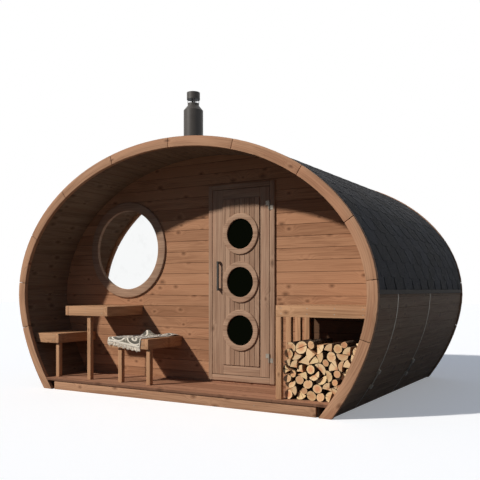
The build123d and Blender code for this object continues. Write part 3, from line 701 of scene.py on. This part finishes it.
def boarded(node, name, material, board, along="X", body=CABIN):
    """A node made of boards that run along one axis; board is (axis, width, start) of how they lie."""
    axis, width, start = "XYZ".index(board[0]), *board[1:]
    along = "XYZ".index(along)
    across = 3 - axis - along
    low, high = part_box(node)
    first = math.floor((low[axis] - start) / width)
    count = math.ceil((high[axis] - start) / width) - first
    middle = (low + high) / 2
    middle[axis] = start + (first + count / 2) * width
    # turned so that the tree's X lies along the boards and its Z across them
    columns = [Vector((0, 0, 0)) for _ in range(3)]
    columns[0][along] = columns[2][axis] = 1
    columns[1] = columns[2].cross(columns[0])
    mesh = grown(board_tree(name + "_boards", material), {
        "Count": count, "Board width": width, "Joint": sizes().board_joint,
        "Thickness": high[across] - low[across] - 0.0002, "Bevel": sizes().board_bevel,
        "Length": high[along] - low[along] + 0.2, "Middle": list(middle),
        "Turn": list(Matrix(columns).transposed().to_euler()), "Solid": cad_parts[node],
    }, name)
    new_piece(name, mesh, body, node)


class SAUNA_OT_walls(bpy.types.Operator):
    """Build the boarded end walls."""

    bl_idname = "sauna.walls"
    bl_label = "Walls"

    def execute(self, context):
        s = sizes()
        board = ("Z", s.wall_board, s.wall_board_start)
        store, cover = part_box("store_posts"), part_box("store_cover")
        # painted shade on the wall boards inside the wood store, below its cover
        store_shade = (store[0].x + 0.05, cover[0].z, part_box("front_wall_right")[0].y)
        finish = wood("wall_boards", colours().wall, "X", board, line=0.35, store_shade=store_shade)
        for node in ("front_wall_left", "front_wall_over_door", "front_wall_right", "rear_wall"):
            boarded(node, node + "_boards", finish, board)
        plain = wood("sill_wood", colours().floor, "X")
        softened("door_sill", "door_threshold", [plain], s.edge_round)
        return {"FINISHED"}


class SAUNA_OT_shell(bpy.types.Operator):
    """Finish the staves and the end rings."""

    bl_idname = "sauna.shell"
    bl_label = "Shell"

    def execute(self, context):
        # the staves' colour holds painted shade
        staves = wood("stave_boards", colours().staves, "shell")
        paint(staves, "left_wall_staves", "right_wall_staves", "left_roof_staves", "right_roof_staves")
        ring = wood("ring_boards", colours().ring, "ring", knots=0.72)
        for node in ("front_ring", "rear_ring"):
            softened(node, node + "_boards", [ring], sizes().edge_round, trim=sizes().ring_joint)
        return {"FINISHED"}


class SAUNA_OT_floors(bpy.types.Operator):
    """Build the floor boards, the low end boards and the joists."""

    bl_idname = "sauna.floors"
    bl_label = "Floors"

    def execute(self, context):
        s = sizes()
        board = ("Y", s.floor_board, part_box("porch_floor")[0].y)
        finish = wood("floor_boards", colours().floor, "X", board)
        for node in ("porch_floor", "room_floor"):
            boarded(node, node + "_boards", finish, board)
        low = wood("fascia_wood", colours().ring, "X")
        softened("end_fascias", "end_boards", [low], s.edge_round)
        paint(wood("joist_wood", colours().staves, "Y"), "floor_joists")
        return {"FINISHED"}


class SAUNA_OT_furniture(bpy.types.Operator):
    """Build the table, the benches and the wood store's frame."""

    bl_idname = "sauna.furniture"
    bl_label = "Furniture"

    def execute(self, context):
        s = sizes()
        colour = colours().furniture
        grains = [wood("furniture_" + axis.lower(), colour, axis, knots=0.7) for axis in "XYZ"]
        for node in ("table_frame", "left_bench_frame", "right_bench_frame", "store_lintel", "store_posts"):
            softened(node, node + "_joinery", grains, s.edge_round)
        for node in ("table_top", "left_bench_top", "right_bench_top", "store_cover"):
            board = ("Y", s.seat_board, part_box(node)[0].y)
            finish = wood(node + "_boards", colour, "X", board)
            boarded(node, node + "_slats", finish, board)
        return {"FINISHED"}


def turned_ring(name, node, body, material, steps=96):
    """Rings with a rounded outer edge, turned about the middle of each of a node's solids."""
    source = merged_node(node)
    bm = bmesh.new()
    for group in islands(source):
        low, high = extent(group)
        middle = (low + high) / 2
        outer = (high.z - low.z) / 2
        inner = min(
            math.hypot(vert.co.x - middle.x, vert.co.z - middle.z) for face in group for vert in face.verts
        )
        front, back = low.y, high.y
        round_out, round_in = (back - front) * 0.55, (back - front) * 0.32
        profile = [(inner, back), (inner, front + round_in)]
        for a in map(math.radians, (30, 60, 90)):
            profile.append((inner + round_in * (1 - math.cos(a)), front + round_in * (1 - math.sin(a))))
        for a in map(math.radians, (0, 22, 45, 68, 90)):
            profile.append((outer - round_out * (1 - math.sin(a)), front + round_out * (1 - math.cos(a))))
        profile.append((outer, back))
        loops = []
        for step in range(steps):
            a = 2 * math.pi * step / steps
            loops.append([
                bm.verts.new((middle.x + r * math.cos(a), y, middle.z + r * math.sin(a))) for r, y in profile
            ])
        for _, corners in quads(loops, closed=True):
            bm.faces.new(corners)
    source.free()
    new_piece(name, mesh_from(bm, name, 40), body, node, [material])


class SAUNA_OT_door(bpy.types.Operator):
    """Build the door frame, the boarded leaf, its porthole rings, glass, pull and hinges."""

    bl_idname = "sauna.door"
    bl_label = "Door"

    def execute(self, context):
        s = sizes()
        colour = colours().door
        grains = [wood("door_" + axis.lower(), colour, axis, knots=0.9) for axis in "XYZ"]
        softened("door_frame", "door_frame_joinery", grains, s.edge_round)
        softened("door_leaf_frame", "door_leaf_joinery", grains, s.edge_round, LEAF)
        low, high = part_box("door_panel")
        start = high.x - PANEL_EDGE - math.floor((high.x - low.x) / s.panel_board) * s.panel_board
        board = ("X", s.panel_board, start)
        finish = wood("door_panel_boards", colour, "Z", board, knots=0.93, line=0.3)
        boarded("door_panel", "door_panel_boards", finish, board, "Z", LEAF)
        ring = wood("turned_ring_wood", shade(colour, 1.06), "X", knots=0.97)
        turned_ring("porthole_turned_rings", "porthole_rings", LEAF, ring)
        dark = glass_finish("porthole_dark_glass", (0.0025, 0.0032, 0.0015), 0.0, 0.06, 0.985, 0.0)
        paint(dark, "porthole_glass")
        steel = plain_metal("hinge_steel", shade(colours().steel, 0.8), 0.3, 0.5, 0.25)
        paint(steel, "frame_hinges", "leaf_hinges", "handle_mounts")
        paint(plain_metal("handle_black", colours().black, 0.4, 0.4), "door_handle")
        return {"FINISHED"}


class SAUNA_OT_window(bpy.types.Operator):
    """Build the round window's turned ring and its mirror glass."""

    bl_idname = "sauna.window"
    bl_label = "Round window"

    def execute(self, context):
        ring = wood("window_ring_wood", shade(colours().door, 0.92), "X", knots=0.9)
        turned_ring("round_window_ring", "round_window_trim", CABIN, ring, 144)
        paint(glass_finish("mirror_glass", (0.93, 0.94, 0.94), 1.0, 0.015, 1.0, 0.5), "round_window_glass")
        return {"FINISHED"}


def roof_line():
    """Points along the underside of the right roof cover, from the crown down to the eave."""
    corners = {(round(v.co.x, 4), round(v.co.z, 4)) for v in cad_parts["right_shingles"].data.vertices}
    centre_z = 0.6
    ordered = sorted(corners, key=lambda p: math.atan2(p[0], p[1] - centre_z))
    pairs = zip(ordered[::2], ordered[1::2])
    return [min(pair, key=lambda p: math.hypot(p[0], p[1] - centre_z)) for pair in pairs]


def shingle_tree(name, material):
    """Courses of tabs laid out flat and bent round the line that the tree is given."""
    t = GeometryTree(name)
    width, exposure, thick, front, rear, total, side = t.inputs(
        "Float", "Width", "Exposure", "Thickness", "Front", "Rear", "Line length", "Side"
    )
    courses, tabs = t.inputs("Int", "Courses", "Tabs")
    upwards = (0.0, 0.0, 1.0)

    def position():
        return t.parts(t.add("InputPosition"))

    # one point for each tab, and every second course shifted by half a tab
    tall, wide = exposure * (courses - 1), width * (tabs - 1)
    points = t.add("MeshGrid", Size_X=tall, Size_Y=wide, Vertices_X=courses, Vertices_Y=tabs)
    px, py, _ = position()
    course = ((px + tall * 0.5) / exposure + 0.5).floor()
    shift = (course * 0.5).fraction() * width
    place = t.vector(total - course * exposure, py + shift, 0.0)
    moved = t.add("SetPosition", Geometry=points, Position=place)

    # the grid becomes a tab: square at its hidden top, drawn in towards its lower edge
    tab = t.add("MeshGrid", Size_X=1.0, Size_Y=1.0, Vertices_X=4, Vertices_Y=3)
    tx, ty, _ = position()
    down = tx + 0.5
    narrow = 1.0 - down.rise(0.58, 1.0) * 0.5
    place = t.vector((down - 1.0) * exposure * 2.0, ty * width * 0.985 * narrow, down * 0.0040 + 0.0014)
    shaped = t.add("SetPosition", Geometry=tab, Position=place)
    solid = t.add(
        "ExtrudeMesh", Mesh=shaped, Individual=False, Offset=upwards, Offset_Scale=thick, mode="FACES"
    )
    both = t.add("JoinGeometry", Geometry=[shaped, solid])
    real = t.add("RealizeInstances", Geometry=t.add("InstanceOnPoints", Points=moved, Instance=both))

    # a thin sheet under the tabs closes the gaps between them
    under = t.add("MeshGrid", Size_X=total, Size_Y=rear - front, Vertices_X=90, Vertices_Y=2)
    middle = t.vector(total * 0.5, (front + rear) * 0.5, 0.0002)
    under = t.add("Transform", Geometry=under, Translation=middle)
    top = t.add(
        "ExtrudeMesh", Mesh=under, Individual=False, Offset=upwards, Offset_Scale=0.001, mode="FACES"
    )
    real = t.add("JoinGeometry", Geometry=[real, under, top])

    # everything is bent round the line and stopped at its ends
    sx, sy, sz = position()
    line = t.add("MeshToCurve", Mesh=t.geometry())
    at = t.add("SampleCurve", Curves=line, Length=sx.most(0.0).least(total), mode="LENGTH")
    cx, _, cz = t.parts(at.other("Position"))
    gx, _, gz = t.parts(at.other("Tangent"))
    place = t.vector(cx - gz * sz * side, sy.most(front).least(rear), cz + gx * sz * side)
    return t.result(t.add("SetPosition", Geometry=real, Position=place), material)


class SAUNA_OT_roof(bpy.types.Operator):
    """Lay the shingles and finish the edge strips."""

    bl_idname = "sauna.roof"
    bl_label = "Roof"

    def execute(self, context):
        s = sizes()
        line = roof_line()
        low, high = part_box("right_shingles")
        total = sum(math.dist(a, b) for a, b in zip(line, line[1:]))
        courses = math.ceil(total / s.shingle_exposure) + 1
        tabs = math.ceil((high.y - low.y) / s.shingle_width) + 2
        tree = shingle_tree("shingle_tree", shingle_finish())
        for side, name in ((1, "right_shingle_tabs"), (-1, "left_shingle_tabs")):
            path = bpy.data.meshes.new(name + "_line")
            path.from_pydata(
                [(side * x, 0, z) for x, z in line], [(i, i + 1) for i in range(len(line) - 1)], []
            )
            mesh = grown(tree, {
                "Width": s.shingle_width, "Exposure": s.shingle_exposure, "Thickness": s.shingle_thickness,
                "Courses": courses, "Tabs": tabs, "Front": low.y, "Rear": high.y,
                "Line length": total, "Side": float(side),
            }, name, path)
            clean(mesh)
            new_piece(name, mesh, CABIN, name.replace("_shingle_tabs", "_shingles"))
        paint(plain_metal("edge_strip_black", colours().black, 0.0, 0.75, 0.15), "roof_edge_strips")
        return {"FINISHED"}


def clean(mesh):
    """Remove faces that have been squeezed flat."""
    bm = bmesh.new()
    bm.from_mesh(mesh)
    bmesh.ops.dissolve_degenerate(bm, dist=1e-5, edges=bm.edges)
    thin = [face for face in bm.faces if face.calc_area() < 1e-9]
    bmesh.ops.delete(bm, geom=thin, context="FACES")
    loose = [vert for vert in bm.verts if not vert.link_faces]
    bmesh.ops.delete(bm, geom=loose, context="VERTS")
    bm.to_mesh(mesh)
    bm.free()


def screw_tree(name, material):
    """Countersunk screw heads on the points of the object's mesh, facing the front."""
    t = GeometryTree(name)
    radius, depth = t.inputs("Float", "Head radius", "Head depth")
    head = t.add("MeshCone", Vertices=12, Radius_Top=radius * 0.8, Radius_Bottom=radius, Depth=depth)
    turn = t.node("FunctionNodeRandomValue", None, None, 0.0, 1.57, Seed=4, data_type="FLOAT", output=1)
    facing = t.vector(math.pi / 2, turn, 0.0)
    return t.result(t.add("InstanceOnPoints", Points=t.geometry(), Instance=head, Rotation=facing), material)


class SAUNA_OT_screws(bpy.types.Operator):
    """Set screw heads in the front boards of the floor, the store, the table and the benches."""

    bl_idname = "sauna.screws"
    bl_label = "Screws"

    def execute(self, context):
        points = []
        for node, columns in (
            ("store_lintel", 4), ("end_fascias", 6), ("table_frame", 3),
            ("left_bench_frame", 2), ("right_bench_frame", 3),
        ):
            low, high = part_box(node)
            bm = merged_node(node)
            wood_faces = BVHTree.FromBMesh(bm)
            bm.free()
            bottom = max(low.z, high.z - 0.09)
            for column in range(columns):
                x = low.x + 0.05 + (high.x - low.x - 0.12) * column / (columns - 1)
                for z in (bottom + SCREW_MARGIN, high.z - SCREW_MARGIN):
                    if wood_faces.find_nearest(Vector((x, low.y, z)), 0.0005)[0]:
                        points.append((x, low.y - 0.0003, z))
        start = bpy.data.meshes.new("screw_points")
        start.from_pydata(points, [], [])
        tree = screw_tree("screw_tree", plain_metal("screw_steel", colours().steel, 0.6, 0.45))
        mesh = grown(tree, {"Head radius": 0.0042, "Head depth": 0.0012}, "front_screws", start, 30)
        new_piece("front_screws", mesh, CABIN)
        return {"FINISHED"}


class SAUNA_OT_metalwork(bpy.types.Operator):
    """Finish the chimney, the straps and their tension fittings."""

    bl_idname = "sauna.metalwork"
    bl_label = "Metalwork"

    def execute(self, context):
        black, steel = shade(colours().black, 1.9), colours().steel
        paint(plain_metal("chimney_black", black, 0.0, 0.45, 0.35), "chimney")
        paint(plain_metal("strap_steel", steel, 0.3, 0.55, 0.25), "straps", "strap_tensioners")
        return {"FINISHED"}


def log_heart(points):
    """Place of a log's heart in its outline, and which of its sides carry bark."""
    count = len(points)
    sides = [(points[(i + 1) % count] - points[i]).length for i in range(count)]
    if count >= 8:
        return sum(points, Vector((0, 0))) / count, [True] * count
    if count == 7:
        flat = sides.index(max(sides))
        heart = (points[flat] + points[(flat + 1) % count]) / 2
        return heart, [i != flat for i in range(count)]
    reach = [sides[i - 1] + sides[i] for i in range(count)]
    corner = reach.index(max(reach))
    return points[corner].copy(), [i not in (corner, (corner - 1) % count) for i in range(count)]


def logs_from_node(bm_out, chance):
    """Rounder logs with bark, in the place of each solid of the firewood node."""
    uv = bm_out.loops.layers.uv.new("log")
    source = merged_node("firewood")
    for group in islands(source):
        front, back = (corner.y for corner in extent(group))
        recess = chance.uniform(0, 0.026)
        end = next(face for face in group if all(abs(vert.co.y - front) < 1e-4 for vert in face.verts))
        outline = [Vector((vert.co.x, vert.co.z)) for vert in end.verts]
        heart, barked = log_heart(outline)
        middle = sum(outline, Vector((0, 0))) / len(outline)
        fine, kinds = [], []
        hollow = chance.choice((0.0, 0.05, 0.12, 0.2))
        for i, point in enumerate(outline):
            after = outline[(i + 1) % len(outline)]
            steps = 3 if barked[i] else 4
            for step in range(steps):
                share = step / steps
                spot = point.lerp(after, share)
                if barked[i]:
                    radius = (point - heart).length * (1 - share) + (after - heart).length * share
                    spot = heart + (spot - heart).normalized() * radius
                    spot = spot + (spot - heart).normalized() * chance.uniform(-0.0012, 0.0002)
                elif step:
                    spot = spot.lerp(middle, hollow * math.sin(math.pi * share) + chance.uniform(0.0, 0.04))
                fine.append(spot)
                kinds.append(barked[i])
        # a slight inward step keeps each log clear of its neighbours
        fine = [spot.lerp(middle, 0.008) for spot in fine]
        lean = Vector((chance.uniform(-0.2, 0.2), chance.uniform(-0.25, 0.15)))
        rings = []
        for y, shrink in ((front, 0.965), (front + 0.003, 0.99), ((front + back) / 2, 1.0), (back, 0.985)):
            ring = []
            for spot in fine:
                here = middle.lerp(spot, shrink)
                slope = (here - middle).dot(lean) + recess + 0.016 if y < front + 0.01 else 0.0
                ring.append(bm_out.verts.new((here.x, y + max(0.0, slope), here.y)))
            rings.append(ring)

        def face(verts, index):
            made = bm_out.faces.new(verts)
            made.material_index = index
            for loop in made.loops:
                loop[uv].uv = (loop.vert.co.x - heart.x, loop.vert.co.z - heart.y)

        for i, corners in quads(rings):
            face(corners, 1 if kinds[i] else 2)
        face(rings[0], 0)
        face(list(reversed(rings[-1])), 0)
    source.free()


class SAUNA_OT_firewood(bpy.types.Operator):
    """Build the split logs in the store."""

    bl_idname = "sauna.firewood"
    bl_label = "Firewood"

    def execute(self, context):
        bm = bmesh.new()
        logs_from_node(bm, random.Random(5))
        mesh = mesh_from(bm, "firewood_logs", 34)
        finishes = (log_end_finish(), bark_finish(), log_side_finish())
        new_piece("firewood_logs", mesh, CABIN, "firewood", finishes)
        return {"FINISHED"}


def throw_sheet():
    """The throw before it settles: a flat grid, turned a little, above the right bench."""
    s = sizes()
    turn = math.radians(-8)
    columns, rows = 42, 66
    across = Vector((math.cos(turn), math.sin(turn), 0))
    down = Vector((-math.sin(turn), math.cos(turn), 0))
    front = Vector((
        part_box("bench_throw")[0].x + 0.008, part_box("right_bench_frame")[0].y,
        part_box("right_bench_top")[1].z + 0.012,
    ))
    bm = bmesh.new()
    uv = bm.loops.layers.uv.new("cloth")
    grid = [[
        bm.verts.new(
            front + across * (s.throw_width * column / columns)
            + down * (s.throw_length * row / rows - s.throw_overhang)
        )
        for column in range(columns + 1)
    ] for row in range(rows + 1)]
    for row in range(rows):
        for column in range(columns):
            corners = ((column, row), (column + 1, row), (column + 1, row + 1), (column, row + 1))
            made = bm.faces.new([grid[r][c] for c, r in corners])
            for loop, (c, r) in zip(made.loops, corners):
                loop[uv].uv = (s.throw_width * (c / columns - 0.5), s.throw_length * r / rows)
    return to_mesh(bm, "bench_throw_cloth"), columns


def ruffle(mesh):
    """Push the laid part of the throw up into a few folds, as if it had been moved by hand."""
    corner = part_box("right_bench_frame")[0]
    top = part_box("right_bench_top")[1].z
    # each fold: place to the right and behind the bench's front left corner, half sizes, height
    folds = (
        (0.22, 0.34, 0.100, 0.085, 0.045), (0.25, 0.34, 0.150, 0.060, 0.014),
        (0.20, 0.17, 0.200, 0.030, 0.007), (0.10, 0.11, 0.120, 0.022, 0.004),
        (0.40, 0.46, 0.150, 0.130, 0.024), (0.42, 0.28, 0.050, 0.240, 0.010),
    )
    for vert in mesh.vertices:
        if vert.co.z > top - 0.001:
            side, back = vert.co.x - corner.x, vert.co.y - corner.y
            rise = 0.0
            for x, y, wide, deep, height in folds:
                away = min(1.0, math.hypot((side - x) / wide, (back - y) / deep))
                rise += height * (0.5 + 0.5 * math.cos(math.pi * away))
            vert.co.z += rise * min(1.0, max(0.0, back / 0.04))


def drape(cloth):
    """Let the throw settle on the bench by cloth simulation, then keep its shape."""
    scene = bpy.context.scene
    low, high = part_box("right_bench_frame")
    bm = bmesh.new()
    bmesh.ops.create_cube(bm, size=1.0)
    for vert in bm.verts:
        lower = Vector((low.x, low.y, high.z - 0.1))
        vert.co = [(lower if vert.co[axis] < 0 else high)[axis] for axis in range(3)]
    bmesh.ops.bevel(bm, geom=bm.edges[:], offset=0.006, segments=2, profile=0.5, affect="EDGES")
    block = placed("bench_block", to_mesh(bm, "bench_block"))
    block.modifiers.new("collide", "COLLISION")
    block.collision.thickness_outer, block.collision.cloth_friction = 0.003, 25
    modifier = cloth.modifiers.new("settle", "CLOTH")
    values = modifier.settings
    values.quality, values.mass, values.air_damping = 7, 0.25, 2
    values.tension_stiffness = values.compression_stiffness = 25
    values.shear_stiffness, values.bending_stiffness = 12, 2.5
    touch = modifier.collision_settings
    touch.distance_min, touch.collision_quality = 0.0025, 4
    modifier.point_cache.frame_start, modifier.point_cache.frame_end = 1, SETTLING_FRAMES
    for number in range(1, SETTLING_FRAMES + 1):
        scene.frame_set(number)
    evaluated = cloth.evaluated_get(bpy.context.evaluated_depsgraph_get())
    settled = bpy.data.meshes.new_from_object(evaluated)
    cloth.modifiers.clear()
    cloth.data = settled
    bpy.data.objects.remove(block)
    scene.frame_set(1)


def tassels(cloth_mesh, columns):
    """Short tassels along the throw's front edge, hanging from the settled cloth."""
    chance = random.Random(8)
    reach = sizes().fringe_length
    bm = bmesh.new()
    row = [cloth_mesh.vertices[i].co.copy() for i in range(columns + 1)]
    turns = [a * math.pi / 2.5 for a in range(5)]
    for index in range(columns + 1):
        top = row[index] + Vector((0, 0, 0.002))
        for strand in range(3):
            side = Vector((chance.uniform(-0.005, 0.005), chance.uniform(-0.0008, 0.0008), 0))
            scallop = 0.72 + 0.34 * abs(math.sin(math.pi * (index + 0.5) / 6))
            drop = reach * chance.uniform(0.92, 1.06) * scallop
            sway = Vector((chance.uniform(-0.005, 0.005), chance.uniform(-0.002, 0.0), 0))
            rings = []
            for step, radius in enumerate(STRAND_RADII):
                share = step / (len(STRAND_RADII) - 1)
                centre = top + side * (0.3 + share) + sway * share * share - Vector((0, 0, drop * share))
                around = [
                    centre + Vector((radius * math.cos(a), radius * math.sin(a), 0)) for a in turns
                ]
                rings.append([bm.verts.new(place) for place in around])
            for _, corners in quads(rings):
                bm.faces.new(corners)
            bm.faces.new(rings[0])
            bm.faces.new(list(reversed(rings[-1])))
    return mesh_from(bm, "bench_throw_fringe", 60)


class SAUNA_OT_throw(bpy.types.Operator):
    """Lay the patterned throw over the right bench."""

    bl_idname = "sauna.throw"
    bl_label = "Throw"

    def execute(self, context):
        mesh, columns = throw_sheet()
        cloth = placed("bench_throw_cloth", mesh)
        drape(cloth)
        ruffle(cloth.data)
        fringe_mesh = tassels(cloth.data, columns)
        for face in cloth.data.polygons:
            face.use_smooth = True
        cloth.data.materials.clear()
        cloth.data.materials.append(throw_finish())
        solid = cloth.modifiers.new("thickness", "SOLIDIFY")
        solid.thickness, solid.offset = 0.0022, 0
        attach(cloth, CABIN)
        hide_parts("bench_throw")
        fringe = new_piece(
            "bench_throw_fringe", fringe_mesh, CABIN, materials=[fringe_finish()]
        )
        return {"FINISHED"}


class SAUNA_OT_stage(bpy.types.Operator):
    """Set the pale floor, the lamps, the world and the camera."""

    bl_idname = "sauna.stage"
    bl_label = "Stage"

    def execute(self, context):
        scene, studio = context.scene, context.scene.sauna_studio
        bpy.ops.mesh.primitive_plane_add(size=80, location=(0, 0, -0.0005))
        floor = context.object
        floor.name = "studio_floor"
        f = Finish("studio_floor")
        f.finish((0.86, 0.86, 0.86, 1), 0.9, specular=0.1)
        # pale to the camera, darker in the light that it throws back on the object
        path = f.node("ShaderNodeLightPath", output="Is Camera Ray")
        glow = f.node("ShaderNodeEmission", Color=(1, 1, 1, 1), Strength=path * 0.26)
        pale = f.node("ShaderNodeAddShader", Value(f, f.shader.outputs["BSDF"]), glow)
        dim = f.node("ShaderNodeBsdfDiffuse", Color=(0.16, 0.15, 0.14, 1))
        both = f.node("ShaderNodeMixShader", path.other("Is Diffuse Ray"), pale, dim)
        f.feed(f.tree.nodes["Material Output"], {"Surface": both})
        floor.data.materials.append(f.material)

        # the world is white to the camera and in mirrors, and a weak cool light to all else
        world = scene.world = bpy.data.worlds.new("studio")
        world.use_nodes = True
        w = Tree(world.node_tree)
        rays = w.node("ShaderNodeLightPath", output="Is Camera Ray")
        shown = rays.most(rays.other("Is Glossy Ray")).most(rays.other("Is Transmission Ray"))
        w.feed(w.tree.nodes["Background"], {
            "Color": w.mix(shown, FILL_LIGHT_TINT, (1, 1, 1)),
            "Strength": shown * (1.0 - studio.sky) + studio.sky,
        })

        lamp = bpy.data.lights.new("key_light", "SUN")
        lamp.energy, lamp.angle, lamp.color = studio.sun, math.radians(2.5), KEY_LIGHT_TINT
        key = placed("key_light", lamp)
        key.rotation_euler = Vector(KEY_LIGHT_TRAVEL).to_track_quat("-Z", "Y").to_euler()

        camera = scene.camera = placed("camera", bpy.data.cameras.new("camera"))
        camera.location, camera.rotation_euler = CAMERA_PLACE, (math.pi / 2, 0, studio.turn)
        camera.data.lens, camera.data.sensor_width = studio.lens, 36
        camera.data.shift_x, camera.data.shift_y = CAMERA_SHIFT
        camera.data.clip_end = 200
        scene.view_settings.view_transform = "Standard"
        return {"FINISHED"}


OPERATORS = (
    SAUNA_OT_shell, SAUNA_OT_walls, SAUNA_OT_floors, SAUNA_OT_door, SAUNA_OT_window,
    SAUNA_OT_furniture, SAUNA_OT_firewood, SAUNA_OT_roof, SAUNA_OT_metalwork, SAUNA_OT_screws,
    SAUNA_OT_throw, SAUNA_OT_stage,
)


class SAUNA_PT_panel(bpy.types.Panel):
    """Lists the sauna's pieces, sizes and colours."""

    bl_idname = "SAUNA_PT_panel"
    bl_label = "Outdoor sauna"
    bl_space_type = "VIEW_3D"
    bl_region_type = "UI"
    bl_category = "Sauna"

    def draw(self, context):
        scene = context.scene
        for group in (scene.sauna_sizes, scene.sauna_colours, scene.sauna_studio):
            box = self.layout.box()
            for name in group.__annotations__:
                box.prop(group, name)
        for operator in OPERATORS:
            self.layout.operator(operator.bl_idname)


GROUPS = (
    ("sauna_sizes", SaunaSizes), ("sauna_colours", SaunaColours), ("sauna_studio", SaunaStudio),
)


def register():
    """Register the classes and the scene's property groups."""
    for name, group in GROUPS:
        bpy.utils.register_class(group)
        setattr(bpy.types.Scene, name, bpy.props.PointerProperty(type=group))
    for operator in OPERATORS:
        bpy.utils.register_class(operator)
    bpy.utils.register_class(SAUNA_PT_panel)


def unregister():
    """Remove the classes and the property groups."""
    bpy.utils.unregister_class(SAUNA_PT_panel)
    for operator in reversed(OPERATORS):
        bpy.utils.unregister_class(operator)
    for name, group in reversed(GROUPS):
        delattr(bpy.types.Scene, name)
        bpy.utils.unregister_class(group)


def main():
    """Build every piece in order."""
    register()
    for operator in OPERATORS:
        group, name = operator.bl_idname.split(".")
        getattr(getattr(bpy.ops, group), name)()


if __name__ == "__main__":
    main()
